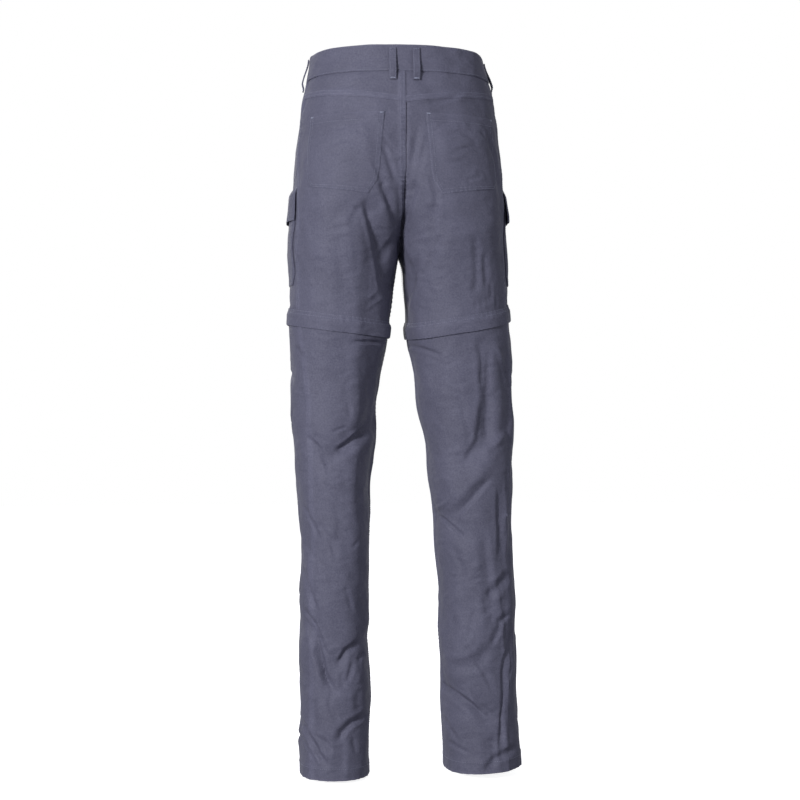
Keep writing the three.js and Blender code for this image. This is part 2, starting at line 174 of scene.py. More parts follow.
def measureRound(side, face):
    around = face * np.arange(walkSteps + 1) / walkSteps
    points = np.array([basePoint(side, around, np.full(around.shape, z)) for z in walkHeights])
    steps = np.linalg.norm(np.diff(points, axis=1), axis=2)
    return np.concatenate([np.zeros((len(walkHeights), 1)), np.cumsum(steps, axis=1)], axis=1)


lengths = {(side, face): measureRound(side, face) for side in sides for face in (1, -1)}


def lengthsAt(side, face, z):
    row = np.clip((walkHeights[0] - z) / walkDrop, 0, len(walkHeights) - 1.001)
    low = row.astype(int)
    share = (row - low)[:, None]
    return mix(lengths[side, face][low], lengths[side, face][low + 1], share)


def halfLength(side, face, z):
    return lengthsAt(side, face, np.atleast_1d(z).astype(float))[:, -1]


def aroundAt(side, distance, z):
    made = np.zeros(distance.shape)
    for face in (1, -1):
        pick = (distance < 0) == (face < 0)
        if not pick.any():
            continue
        walked = lengthsAt(side, face, z[pick])
        away = np.abs(distance[pick])
        k = np.clip((walked < away[:, None]).sum(1) - 1, 0, walkSteps - 1)
        n = np.arange(len(k))
        made[pick] = face * (k + (away - walked[n, k]) / (walked[n, k + 1] - walked[n, k])) / walkSteps
    return made


def legLine(line, around):
    sag = np.where(around > 0, line["sag"] * np.sin(np.pi * around), 0)
    return line["z"] + line["rise"] * np.cos(np.pi * around) - sag


# The largest folds, as in the solids: x0, z0, x1, z1, width, depth
largeFolds = {
    "back": [
        [54, -243, 22, -340, 17, 6], [88, -246, 68, -345, 18, 3], [36, -446, 50, -640, 20, 5],
        [99, -586, 45, -547, 15, 5], [141, -563, 108, -614, 14, 3], [131, -843, 102, -930, 16, 4],
        [92, -890, 52, -862, 14, 4], [-36, -250, -28, -340, 16, 3], [-128, -512, -132, -552, 18, 4.5],
        [-132, -552, -91, -599, 18, 4.5], [-54, -679, -86, -706, 14, 3.5],
        [-77, -681, -127, -632, 14, 3], [-60, -936, -125, -972, 15, 4.5],
    ],
    "front": [
        [50, -236, 24, -335, 18, 5], [92, -250, 74, -345, 18, 3], [46, -450, 98, -482, 17, 4],
        [140, -560, 78, -604, 16, 4], [58, -800, 118, -850, 16, 4], [-50, -240, -26, -338, 18, 5],
        [-94, -256, -80, -346, 18, 3], [-54, -452, -108, -488, 17, 4],
        [-150, -556, -84, -610, 16, 4], [-88, -792, -146, -846, 16, 4],
    ],
}

# Creases drawn as lines of x, z across the cloth, then the depth and the widths of the two flanks.
# A minus depth is a ridge.
creases = {
    "back": [
        ([(53, -221), (55, -231), (44, -264), (33, -297), (26, -326), (24, -355)], 5, 5, 14),
        ([(86, -232), (82, -265), (77, -294), (73, -330), (70, -372)], -2.2, 9, 15),
        ([(52, -380), (23, -358)], -0.8, 1.6, 2), ([(50, -365), (31, -348)], -0.6, 1.6, 2),
        ([(74, -426), (23, -426)], 3.4, 2.4, 2.4), ([(151, -434), (142, -452)], 1.2, 2.5, 2.5),
        ([(33, -134), (14, -157)], 1.1, 3, 3),
        ([(31, -145), (17, -185), (12, -199)], 2.2, 4, 3), ([(35, -199), (17, -240)], 3.2, 4.5, 4),
        ([(24, -209), (11, -259)], 1.6, 4, 4), ([(-19, -119), (-7, -191), (-3, -228)], 2.4, 5, 5),
        ([(-36, -190), (-44, -213), (-46, -242)], 1.6, 4, 4),
        ([(-19, -190), (-12, -219), (-5, -242), (2, -269)], 2.0, 4, 4),
        ([(-11, -194), (-5, -232), (-5, -256)], 1.8, 5, 5),
        ([(-38, -225), (-44, -251), (-41, -297)], 2, 7, 7),
        ([(-22, -302), (-15, -347), (-8, -382)], 3, 12, 3),
        ([(-104, -274), (-108, -326), (-104, -358)], 1.8, 5, 5), ([(-119, -297), (-122, -346)], 2, 4, 4),
        ([(-106, -368), (-107, -383)], 1.2, 2.4, 2.4), ([(-115, -365), (-116, -381)], 1.2, 2.4, 2.4),
        ([(-124, -359), (-124, -380)], 1.2, 2.4, 2.4), ([(-129, -335), (-130, -377)], 1.2, 2.4, 2.4),
        ([(-138, -358), (-139, -376)], 1.2, 2.4, 2.4), ([(-147, -361), (-148, -374)], 1.2, 2.4, 2.4),
        ([(-11, -427), (-59, -447)], 2, 2.6, 2.6), ([(-68, -459), (-83, -449)], 0.9, 2.5, 2.5),
        ([(-108, -420), (-114, -452), (-115, -495)], 2.6, 3, 14),
        ([(-122, -427), (-121, -495)], -1.4, 2.6, 2.6),
        ([(-135, -429), (-149, -456), (-160, -498)], -2, 2.8, 2.8),
        ([(-116, -510), (-113, -546), (-109, -568), (-92, -600)], 4, 3.6, 15),
        ([(-117, -586), (-159, -558)], -2, 5, 5), ([(-131, -622), (-109, -645), (-77, -680)], 3.4, 8, 3),
        ([(-74, -641), (-67, -658), (-51, -673)], -1.8, 2.4, 2.4),
        ([(-54, -680), (-89, -711)], 2.8, 2.2, 2.2),
        ([(-67, -612), (-81, -614)], 1, 2.6, 2.6), ([(-141, -637), (-142, -696), (-142, -742)], 2.8, 2.6, 6),
        ([(-162, -591), (-157, -647), (-148, -712)], -1.4, 2.2, 2.2), ([(-160, -764), (-124, -799)], 3, 6, 6),
        ([(-119, -799), (-125, -824)], 1.2, 5, 5),
        ([(-160, -824), (-145, -833), (-141, -852), (-131, -868)], 3, 6, 2.4),
        ([(-129, -867), (-110, -893), (-73, -905)], 2.8, 8, 8),
        ([(-62, -934), (-78, -943), (-97, -953), (-122, -974)], 4.8, 6, 3.6),
        ([(-64, -978), (-83, -1009)], 1.4, 2.5, 2.5), ([(-71, -1014), (-97, -1026)], 1.4, 2.5, 2.5),
        ([(-158, -853), (-149, -907), (-149, -947), (-143, -1025)], 2.6, 2.4, 5),
        ([(-167, -839), (-165, -908), (-159, -928)], -1.6, 2.4, 2.4),
        ([(-120, -1052), (-140, -1033), (-174, -1020)], 3, 5, 5), ([(79, -514), (76, -536)], 1.5, 3, 3),
        ([(101, -556), (81, -548)], 2, 2.4, 2.4), ([(140, -561), (122, -580), (107, -615)], 2.5, 2.6, 2.6),
        ([(98, -585), (79, -573), (44, -549)], 5.6, 9, 3.4), ([(115, -627), (88, -656)], 1.5, 2.8, 2.8),
        ([(73, -724), (65, -714)], 1, 2.5, 2.5),
        ([(144, -661), (122, -708)], 2, 2.5, 2.5), ([(141, -719), (125, -744)], 1, 3, 3),
        ([(144, -754), (130, -800), (124, -815)], 3.0, 3.4, 2.8),
        ([(142, -814), (129, -836), (109, -882)], 3.4, 3, 2.4),
        ([(138, -827), (124, -871), (115, -909), (100, -934)], 5.4, 4.5, 5),
        ([(107, -938), (105, -955), (93, -974)], 1.8, 3, 3), ([(60, -861), (82, -873), (93, -893)], 4, 3, 6),
        ([(50, -880), (63, -889)], 2.4, 3, 3), ([(71, -890), (80, -920)], 2, 3, 3),
        ([(65, -929), (63, -966)], 1.5, 5, 5), ([(87, -904), (86, -929)], 1.4, 4, 4),
        ([(50, -973), (72, -980), (87, -993), (92, -1003)], 4.4, 6, 3),
        ([(128, -944), (129, -978)], 1.8, 5, 5),
        ([(146, -981), (122, -1023), (111, -1037)], 4.6, 4, 3.6),
        ([(145, -1004), (122, -1041)], 1.4, 2.6, 2.6), ([(122, -999), (100, -1014)], 0.9, 3, 3),
        ([(138, -906), (136, -935)], 1.4, 5, 5),
        ([(44, -290), (50, -365), (54, -430)], 2.0, 9, 14),
        ([(124, -128), (104, -121), (84, -123)], 0.7, 3, 2),
        ([(112, -150), (88, -141), (66, -146)], 0.8, 2, 3),
        ([(128, -166), (108, -158), (92, -160)], 0.7, 3, 2),
        ([(96, -178), (78, -170), (56, -176)], 0.8, 3, 3),
        ([(70, -126), (52, -134)], 0.7, 2, 3), ([(120, -192), (100, -186)], 0.7, 2, 3),
        ([(-58, -132), (-78, -126), (-96, -130)], 0.8, 2, 3),
        ([(-70, -154), (-92, -146), (-112, -152)], 0.8, 3, 2),
        ([(-62, -172), (-80, -168), (-104, -176)], 0.9, 3, 3), ([(-88, -196), (-112, -188)], 0.8, 2, 3),
        ([(-46, -118), (-66, -112)], 0.7, 3, 2), ([(-108, -118), (-126, -134), (-134, -160)], 1.4, 3, 4),
        ([(-120, -110), (-136, -150), (-142, -200)], 1.6, 3, 3),
        ([(-20, -88), (-52, -82), (-84, -70)], 1.6, 2.4, 4),
        ([(30, -60), (58, -56), (80, -60)], 0.8, 2.4, 3),
        ([(-156, -440), (-159, -500), (-160, -590)], 2.8, 9, 3),
        ([(-132, -1000), (-134, -1030), (-136, -1058)], 2.6, 11, 4),
        ([(88, -990), (86, -1030), (88, -1058)], 1.6, 9, 4),
        ([(-150, -620), (-154, -690), (-152, -760)], -1.2, 2, 3),
        ([(-138, -780), (-146, -840), (-152, -900)], -1.2, 2, 3),
        ([(-152, -940), (-150, -980), (-154, -1020)], -1.3, 2, 3),
        ([(120, -690), (106, -712), (96, -742)], 1.6, 2.4, 5),
        ([(132, -870), (118, -905), (112, -940)], 1.6, 2.4, 4),
        ([(-96, -880), (-118, -905), (-134, -938)], 1.8, 2.4, 5),
        ([(-84, -520), (-96, -560), (-92, -600)], 1.3, 2.4, 5),
        ([(56, -425), (57, -510), (58, -575)], 1.5, 10, 14),
        ([(67, -420), (64, -500), (66, -585)], -1.8, 9, 13),
        ([(58, -590), (57, -667), (57, -735)], 1.5, 10, 14),
        ([(66, -596), (68, -667), (66, -745)], -1.6, 9, 13),
        ([(57, -725), (55, -802), (56, -870)], 1.2, 10, 14),
        ([(47, -167), (28, -209), (17, -231)], 1.3, 3, 5),
        ([(64, -232), (78, -255)], 1.0, 3, 5), ([(-29, -138), (-16, -188), (-9, -224)], 1.2, 3, 5),
        ([(-60, -240), (-51, -280), (-31, -330)], 1.5, 4, 8),
        ([(8, -268), (23, -297), (29, -311)], 2.0, 3, 5), ([(3, -274), (-12, -311), (-15, -344)], 2.0, 5, 3),
        ([(103, -656), (93, -685), (96, -722)], 1.0, 3, 6), ([(116, -744), (99, -780)], 1.1, 3, 3),
        ([(83, -780), (72, -817)], 1.2, 3, 3), ([(-73, -722), (-88, -758), (-85, -802)], 1.2, 3, 6),
        ([(-105, -816), (-97, -860)], 1.1, 3, 3), ([(-78, -824), (-68, -860), (-70, -889)], 1.2, 3, 6),
        ([(-100, -934), (-115, -957), (-132, -970)], 1.6, 3, 3), ([(112, -1000), (104, -1025)], 1.2, 3, 3),
        ([(72, -1000), (66, -1025)], 1.3, 3, 3), ([(-34, -510), (-50, -568), (-56, -612)], 1.2, 4, 9),
        ([(-118, -700), (-128, -780), (-134, -860)], 2.6, 8, 5),
        ([(-122, -430), (-128, -520), (-130, -590)], 3, 8, 5),
    ],
    "front": [
        ([(16, -196), (44, -214), (70, -221)], 2.4, 5, 4),
        ([(-16, -200), (-46, -217), (-74, -222)], 2.2, 4, 5),
        ([(10, -226), (30, -262), (40, -300)], 3.2, 4, 7),
        ([(-9, -228), (-27, -262), (-36, -298)], 3.4, 7, 4),
        ([(100, -90), (74, -140), (60, -178)], 1.8, 5, 7),
        ([(-102, -92), (-76, -142), (-64, -180)], 1.7, 7, 5),
        ([(60, -300), (64, -350), (60, -380)], 2.2, 5, 9),
        ([(-74, -296), (-72, -340), (-78, -374)], 2.0, 9, 5),
        ([(104, -318), (110, -366)], 1.4, 5, 5), ([(-112, -300), (-108, -352)], 1.5, 5, 5),
        ([(34, -440), (62, -462), (96, -470)], 3.6, 3, 7),
        ([(-32, -440), (-60, -466), (-92, -472)], 3.4, 7, 3),
        ([(138, -470), (112, -500), (84, -512)], 2.8, 3, 6),
        ([(-146, -462), (-118, -496), (-86, -508)], 3.0, 6, 3),
        ([(60, -532), (76, -560), (98, -574)], 2.4, 4, 4),
        ([(-64, -540), (-88, -562), (-112, -572)], 2.4, 4, 4),
        ([(120, -620), (104, -690), (100, -744)], 2.6, 5, 12),
        ([(-132, -626), (-118, -692), (-122, -748)], 2.4, 12, 5),
        ([(58, -660), (70, -716), (68, -770)], 2.0, 6, 6),
        ([(-78, -664), (-84, -720), (-80, -768)], 2.2, 6, 6),
        ([(54, -820), (84, -838), (124, -872)], 2.8, 4, 7),
        ([(-72, -812), (-104, -836), (-148, -862)], 3.0, 7, 4),
        ([(132, -900), (104, -918), (80, -948)], 2.6, 3, 6),
        ([(-158, -896), (-128, -926), (-98, -948)], 2.4, 6, 3),
        ([(60, -968), (88, -984), (112, -1010)], 3.0, 4, 6),
        ([(-84, -966), (-116, -990), (-150, -1002)], 3.2, 6, 4),
        ([(126, -1000), (110, -1034)], 1.8, 4, 4), ([(-104, -1012), (-122, -1040)], 1.8, 4, 4),
    ],
}
# The same on the outer sides, as lines of y, z
sideCreases = {
    "left": [
        ([(34, -66), (10, -112), (-16, -150)], 1.6, 6, 4), ([(-30, -350), (-6, -366), (24, -372)], 1.4, 4, 4),
        ([(-34, -444), (-4, -470), (30, -480)], 2.8, 3.4, 7),
        ([(32, -520), (2, -548), (-26, -556)], 2.4, 6, 3.4),
        ([(-24, -610), (2, -668), (6, -720)], 2.2, 5, 9), ([(26, -780), (0, -812), (-30, -828)], 2.4, 4, 6),
        ([(-30, -880), (0, -906), (28, -940)], 2.8, 3.4, 7),
        ([(26, -990), (-2, -1010), (-28, -1016)], 2.2, 5, 4),
    ],
    "right": [
        ([(30, -70), (8, -118), (-20, -152)], 1.6, 6, 4), ([(-28, -352), (0, -368), (26, -374)], 1.4, 4, 4),
        ([(-30, -436), (-2, -462), (28, -476)], 2.6, 3.4, 7),
        ([(24, -596), (0, -622), (-28, -630)], 2.6, 6, 3.4),
        ([(-20, -680), (4, -730), (2, -782)], 2.2, 5, 9), ([(20, -852), (-4, -876), (-34, -884)], 2.6, 4, 6),
        ([(-28, -926), (0, -952), (24, -990)], 2.6, 3.4, 7),
        ([(14, -1010), (-10, -1026), (-34, -1030)], 2.0, 5, 4),
    ],
}


# A crease has flat flanks and crisp edges: how far its widths spread, how round its edges are
fold = {"spread": 1.5, "deepen": 1.36, "rounding": 0.008, "lip": 0.16}


def creaseField(rows, across, z):
    total = np.zeros(z.shape)
    for line, depth, leftWidth, rightWidth in rows:
        points = np.array(line, float)
        reach = 5 * max(leftWidth, rightWidth)
        low, high = points.min(0) - reach, points.max(0) + reach
        near = (across > low[0]) & (across < high[0]) & (z > low[1]) & (z < high[1])
        if not near.any():
            continue
        px, pz = across[near], z[near]
        best = np.full(px.shape, 1e9)
        along, turn = np.zeros(px.shape), np.zeros(px.shape)
        spans = np.diff(points, axis=0)
        runs = np.hypot(spans[:, 0], spans[:, 1])
        walked = np.concatenate([[0], np.cumsum(runs)])
        for (x0, z0), (dx, dz), run, start in zip(points, spans, runs, walked):
            t = np.clip(((px - x0) * dx + (pz - z0) * dz) / run**2, 0, 1)
            away = np.hypot(px - x0 - t * dx, pz - z0 - t * dz)
            closer = away < best
            best = np.where(closer, away, best)
            along = np.where(closer, start + t * run, along)
            turn = np.where(closer, dx * (pz - z0) - dz * (px - x0), turn)
        apart = best / np.where(turn > 0, leftWidth, rightWidth) / fold["spread"]
        share = along / walked[-1]
        taper = smooth(-0.06, 0.2, share) * smooth(1.06, 0.8, share)
        lip = fold["lip"] * bell(apart - 1.3, 0.4)
        slope = 1 - np.sqrt(apart**2 + fold["rounding"])
        flank = (slope + np.sqrt(slope**2 + fold["rounding"])) / 2
        total[near] += fold["deepen"] * depth * taper * (flank - lip)
    return total


# Soft unevenness of worn cloth: a few slow waves with fixed random directions
noise = {"seed": 11, "shortest": 16, "longest": 150, "waves": 18, "height": 0.0052}
noiseRandom = np.random.default_rng(noise["seed"])
noiseWaves = []
for waveLength in np.geomspace(noise["shortest"], noise["longest"], noise["waves"]):
    heading = noiseRandom.normal(size=3) * [1, 1, 0.8]
    heading /= np.linalg.norm(heading)
    noiseWaves.append((heading * 2 * math.pi / waveLength, noiseRandom.uniform(0, 2 * math.pi),
                       noise["height"] * waveLength ** 0.9))

# Crisp nylon also breaks into faint facets: folded waves, bent by a slower one
facet = {"shortest": 34, "longest": 120, "waves": 9, "height": 0.0088, "bend": 1.3, "level": 0.64,
         "edge": 0.012}
facetWaves = []
for waveLength in np.geomspace(facet["shortest"], facet["longest"], facet["waves"]):
    heading, bend = noiseRandom.normal(size=(2, 3)) * [1, 1, 0.55]
    heading, bend = heading / np.linalg.norm(heading), bend / np.linalg.norm(bend)
    facetWaves.append((heading * math.pi / waveLength, bend * math.pi / waveLength,
                       *noiseRandom.uniform(0, 6, 2), facet["height"] * waveLength))


def unevenness(points):
    total = np.zeros(len(points))
    for pull, phase, height in noiseWaves:
        total += height * np.sin(points @ pull + phase)
    for pull, bend, phase, start, height in facetWaves:
        turned = points @ pull + phase + facet["bend"] * np.sin(points @ bend + start)
        total += height * (facet["level"] - np.sqrt(np.sin(turned) ** 2 + facet["edge"]))
    return total


foldFade = 25.0
calm = {"zipReach": 15.0, "zipShare": 0.75, "bandReach": 12.0}


def foldDepth(side, points, normals, around):
    x, y, z = points.T
    total = np.zeros(len(points))
    for face, toward in (("back", 1), ("front", -1)):
        fade = np.clip(toward * y / foldFade, 0, 1)
        for x0, z0, x1, z1, width, depth in largeFolds[face]:
            dx, dz = x1 - x0, z1 - z0
            t = np.clip(((x - x0) * dx + (z - z0) * dz) / (dx * dx + dz * dz), 0, 1)
            away = np.hypot(x - x0 - t * dx, z - z0 - t * dz)
            total += depth * fade * bell(away, width)
        total += creaseField(creases[face], x, z) * smooth(0, 14, toward * y)
    outward = smooth(0.6, 0.9, normals[:, 0] * sides[side])
    total += creaseField(sideCreases[side], y, z) * outward
    zipAway = z - legLine(legLines[side]["seam"], around)
    total *= 1 - calm["zipShare"] * bell(zipAway, calm["zipReach"])
    return total * smooth(cuts["band"] + 1, cuts["band"] - calm["bandReach"], z)


# Point of the cloth's outer face, and its outward direction
def clothPoint(side, around, z, lift):
    points, normals = basePoint(side, around, z), baseNormal(side, around, z)
    rise = lift - foldDepth(side, points, normals, around) + unevenness(points)
    return points + normals * rise[:, None], normals


# Small puckers along a sewn edge
def pucker(along, away, pitch, reach, height, start):
    slow = 0.65 + 0.35 * np.sin(2 * math.pi * along / 83 + 2 * start)
    wave = np.sin(2 * math.pi * along / pitch + 1.4 * np.sin(2 * math.pi * along / 47 + start))
    return height * slow * wave * bell(away, reach)


# Cloth turned under at an edge rolls down there, and is rubbed lighter
def rolled(away, height=0.5, reach=1.6):
    return height * bell(away, reach)


def rubbed(away, reach=1.8):
    return bell(away, reach)


def deselectAll():
    bpy.ops.object.select_all(action="DESELECT")


# One sheet of cloth from a flat grid. place(u, v) gives points, outward directions, the flat
# coordinates and how worn each point is.
def makeSheet(name, across, down, place, thick, material, ring=False):
    deselectAll()
    bpy.ops.mesh.primitive_grid_add(x_subdivisions=across, y_subdivisions=down, size=1, calc_uvs=False)
    piece = bpy.context.object
    piece.name = piece.data.name = name
    mesh = piece.data
    flatGrid = np.zeros(len(mesh.vertices) * 3)
    mesh.vertices.foreach_get("co", flatGrid)
    flatGrid = flatGrid.reshape(-1, 3)
    u, v = flatGrid[:, 0] + 0.5, 0.5 - flatGrid[:, 1]
    points, normals, flat, wear = place(u, v)
    mesh.vertices.foreach_set("co", (points * mm).ravel())
    mesh.update()
    corners = np.zeros(len(mesh.loops), np.int32)
    mesh.loops.foreach_get("vertex_index", corners)
    layer = mesh.uv_layers.new(name="cloth")
    layer.data.foreach_set("uv", (flat[corners] * mm).ravel())
    mesh.attributes.new("wear", "FLOAT", "POINT").data.foreach_set("value", wear)
    faceNormals = np.zeros(len(mesh.polygons) * 3)
    mesh.polygons.foreach_get("normal", faceNormals)
    first = np.zeros(len(mesh.polygons), np.int32)
    mesh.polygons.foreach_get("loop_start", first)
    inward = (faceNormals.reshape(-1, 3) * normals[corners[first]]).sum() < 0
    bpy.ops.object.mode_set(mode="EDIT")
    bpy.ops.mesh.select_all(action="SELECT")
    if inward:
        bpy.ops.mesh.flip_normals()
    if ring:
        bpy.ops.mesh.remove_doubles(threshold=0.5 * mm)
    bpy.ops.object.mode_set(mode="OBJECT")
    wall = piece.modifiers.new("wall", "SOLIDIFY")
    wall.thickness, wall.offset, wall.use_even_offset = thick * mm, -1, False
    bpy.ops.object.modifier_apply(modifier=wall.name)
    bpy.ops.object.shade_smooth_by_angle(angle=math.radians(55))
    finish(piece, material)
    return piece


def finish(piece, material):
    piece.data.materials.clear()
    piece.data.materials.append(material)
    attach(piece, "root")


# Materials
def fromHex(code):
    made = []
    for i in (0, 2, 4):
        c = int(code[i:i + 2], 16) / 255
        made.append(c / 12.92 if c <= 0.04045 else ((c + 0.055) / 1.055) ** 2.4)
    return (*made, 1.0)


def addNode(tree, kind, values=None, links=None, **settings):
    node = tree.nodes.new(kind)
    for name, value in settings.items():
        setattr(node, name, value)
    for socket, value in (values or {}).items():
        node.inputs[socket].default_value = value
    for socket, source in (links or {}).items():
        tree.links.new(source, node.inputs[socket])
    return node


def newMaterial(name, shader):
    made = bpy.data.materials.new(name)
    made.use_nodes = True
    tree = made.node_tree
    surface = tree.nodes["Principled BSDF"]
    for socket, value in shader.items():
        surface.inputs[socket].default_value = value
    return made, tree, surface


def twoTone(tree, factor, dark, light):
    ramp = addNode(tree, "ShaderNodeValToRGB", None, {"Fac": factor})
    ramp.color_ramp.elements[0].color = fromHex(dark)
    ramp.color_ramp.elements[1].color = fromHex(light)
    return ramp


waveTurn = math.pi / 10      # a Wave texture of scale 1 repeats every waveTurn


# Plain-woven nylon, matt-finished: fine threads, a slightly dry surface with a soft sheen
def wovenNylon(name, look):
    made, tree, surface = newMaterial(name, {
        "Roughness": look["roughness"], "IOR": 1.53, "Specular IOR Level": look["specular"],
        "Sheen Weight": look["sheen"], "Sheen Roughness": 0.45, "Sheen Tint": fromHex(look["sheenTint"])})
    flat = addNode(tree, "ShaderNodeUVMap", uv_map="cloth").outputs["UV"]
    place = addNode(tree, "ShaderNodeTexCoord").outputs["Object"]
    scale = waveTurn / (look["thread"] * mm)
    weft, warp = (addNode(tree, "ShaderNodeTexWave",
                          {"Scale": scale, "Distortion": 0.6, "Detail Scale": 0.05},
                          {"Vector": flat}, bands_direction=way) for way in "YX")
    weave = addNode(tree, "ShaderNodeMath", None, {0: weft.outputs["Fac"], 1: warp.outputs["Fac"]},
                    operation="MULTIPLY")
    slub = addNode(tree, "ShaderNodeTexNoise", {"Scale": 1 / (2.2 * mm), "Detail": 3.0, "Roughness": 0.6},
                   {"Vector": place})
    cloud = addNode(tree, "ShaderNodeTexNoise", {"Scale": 1 / (46 * mm), "Detail": 3.0}, {"Vector": place})
    crumple = addNode(tree, "ShaderNodeTexNoise", {"Scale": 1 / (9 * mm), "Detail": 4.0, "Roughness": 0.55},
                      {"Vector": place})
    tone = addNode(tree, "ShaderNodeMapRange", {"From Min": 0.3, "From Max": 0.7, "To Min": 0, "To Max": 1},
                   {"Value": slub.outputs["Fac"]})
    speckle = twoTone(tree, tone.outputs["Result"], look["dark"], look["light"])
    patch = addNode(tree, "ShaderNodeMapRange",
                    {"From Min": 0.3, "From Max": 0.7, "To Min": 0.94, "To Max": 1.06},
                    {"Value": cloud.outputs["Fac"]})
    worn = addNode(tree, "ShaderNodeAttribute", attribute_name="wear")
    lift = addNode(tree, "ShaderNodeMath", {1: look["wearGain"]},
                   {0: worn.outputs["Fac"], 2: patch.outputs["Result"]}, operation="MULTIPLY_ADD")
    shade = addNode(tree, "ShaderNodeVectorMath", None, {0: speckle.outputs["Color"]}, operation="SCALE")
    tree.links.new(lift.outputs["Value"], shade.inputs["Scale"])
    tree.links.new(shade.outputs["Vector"], surface.inputs["Base Color"])
    crosswise = addNode(tree, "ShaderNodeMapping", {"Scale": (1, 1, look["crosswise"])}, {"Vector": place})
    ridges = addNode(tree, "ShaderNodeTexNoise", {"Scale": 1 / (look["wrinkle"] * mm), "Detail": 1.5},
                     {"Vector": crosswise.outputs["Vector"]}, noise_type="RIDGED_MULTIFRACTAL")
    wrinkles = addNode(tree, "ShaderNodeBump", {"Strength": 0.4, "Distance": look["wrinkleHigh"] * mm},
                       {"Height": ridges.outputs["Fac"]})
    rough = addNode(tree, "ShaderNodeBump", {"Strength": 0.35, "Distance": look["crumple"] * mm},
                    {"Height": crumple.outputs["Fac"], "Normal": wrinkles.outputs["Normal"]})
    threads = addNode(tree, "ShaderNodeBump", {"Strength": 0.5, "Distance": look["relief"] * mm},
                      {"Height": weave.outputs["Value"], "Normal": rough.outputs["Normal"]})
    tree.links.new(threads.outputs["Normal"], surface.inputs["Normal"])
    return made


nylonLook = {
    "dark": "4a4a5c", "light": "5a5a6c", "sheenTint": "b9bcd0", "roughness": 0.7, "specular": 0.26,
    "sheen": 0.06, "thread": 0.9,    # real threads lie about 0.3 mm apart, drawn coarser to show
    "relief": 0.12, "crumple": 1.3, "wrinkle": 24, "wrinkleHigh": 5, "crosswise": 1.7, "wearGain": 0.12,
}
shellCloth = wovenNylon("wovenNylon", nylonLook)


# Spun polyester thread, a shade lighter and bluer than the cloth
def threadMaterial(name, dark, light):
    made, tree, surface = newMaterial(name, {
        "Roughness": 0.5, "Sheen Weight": 0.2, "Specular IOR Level": 0.4})
    place = addNode(tree, "ShaderNodeTexCoord").outputs["Object"]
    ply = addNode(tree, "ShaderNodeTexNoise", {"Scale": 1 / (0.8 * mm), "Detail": 2.0}, {"Vector": place})
    ramp = twoTone(tree, ply.outputs["Fac"], dark, light)
    tree.links.new(ramp.outputs["Color"], surface.inputs["Base Color"])
    return made


# Woven polyester tape: darker and flatter than the shell cloth, with a lengthwise rib
def tapeMaterial():
    made, tree, surface = newMaterial("zipTape", {"Roughness": 0.8, "Sheen Weight": 0.1})
    flat = addNode(tree, "ShaderNodeUVMap", uv_map="cloth").outputs["UV"]
    rib = addNode(tree, "ShaderNodeTexWave", {"Scale": waveTurn / (0.8 * mm), "Distortion": 0.3},
                  {"Vector": flat}, bands_direction="Y")
    ramp = twoTone(tree, rib.outputs["Fac"], "33353f", "43454f")
    bump = addNode(tree, "ShaderNodeBump", {"Strength": 0.5, "Distance": 0.15 * mm},
                   {"Height": rib.outputs["Fac"]})
    tree.links.new(ramp.outputs["Color"], surface.inputs["Base Color"])
    tree.links.new(bump.outputs["Normal"], surface.inputs["Normal"])
    return made


# Moulded nylon coil and polyester button: dark plastic with a low gloss and faint mottling
def plasticMaterial(name, dark, light, roughness, grain):
    made, tree, surface = newMaterial(name, {"Roughness": roughness, "IOR": 1.5})
    place = addNode(tree, "ShaderNodeTexCoord").outputs["Object"]
    mottle = addNode(tree, "ShaderNodeTexNoise", {"Scale": 1 / (grain * mm), "Detail": 4.0},
                     {"Vector": place})
    ramp = twoTone(tree, mottle.outputs["Fac"], dark, light)
    bump = addNode(tree, "ShaderNodeBump", {"Strength": 0.2, "Distance": 0.05 * mm},
                   {"Height": mottle.outputs["Fac"]})
    tree.links.new(ramp.outputs["Color"], surface.inputs["Base Color"])
    tree.links.new(bump.outputs["Normal"], surface.inputs["Normal"])
    return made


# Die-cast zinc with a dull gunmetal plating, rubbed a little lighter in places
def gunmetalMaterial():
    made, tree, surface = newMaterial("gunmetalZinc", {"Metallic": 1.0})
    place = addNode(tree, "ShaderNodeTexCoord").outputs["Object"]
    rubbed = addNode(tree, "ShaderNodeTexNoise", {"Scale": 1 / (3 * mm), "Detail": 5.0}, {"Vector": place})
    ramp = twoTone(tree, rubbed.outputs["Fac"], "6f7278", "94979d")
    gloss = addNode(tree, "ShaderNodeMapRange", {"To Min": 0.28, "To Max": 0.46},
                    {"Value": rubbed.outputs["Fac"]})
    tree.links.new(ramp.outputs["Color"], surface.inputs["Base Color"])
    tree.links.new(gloss.outputs["Result"], surface.inputs["Roughness"])
    return made


thread = threadMaterial("polyesterThread", "585b70", "6d7187")
tackThreadPaintedHighlight = threadMaterial("bartackThreadPaintedHighlight", "7b8096", "9aa0b6")      # the same thread painted paler: a painted highlight for the light the dense raised bars catch
zipTape = tapeMaterial()
nylonCoil = plasticMaterial("nylonCoil", "3b3d48", "4a4c58", 0.4, 1.5)
buttonPlastic = plasticMaterial("buttonPolyester", "454757", "565868", 0.34, 4)
gunmetal = gunmetalMaterial()
print("materials made")


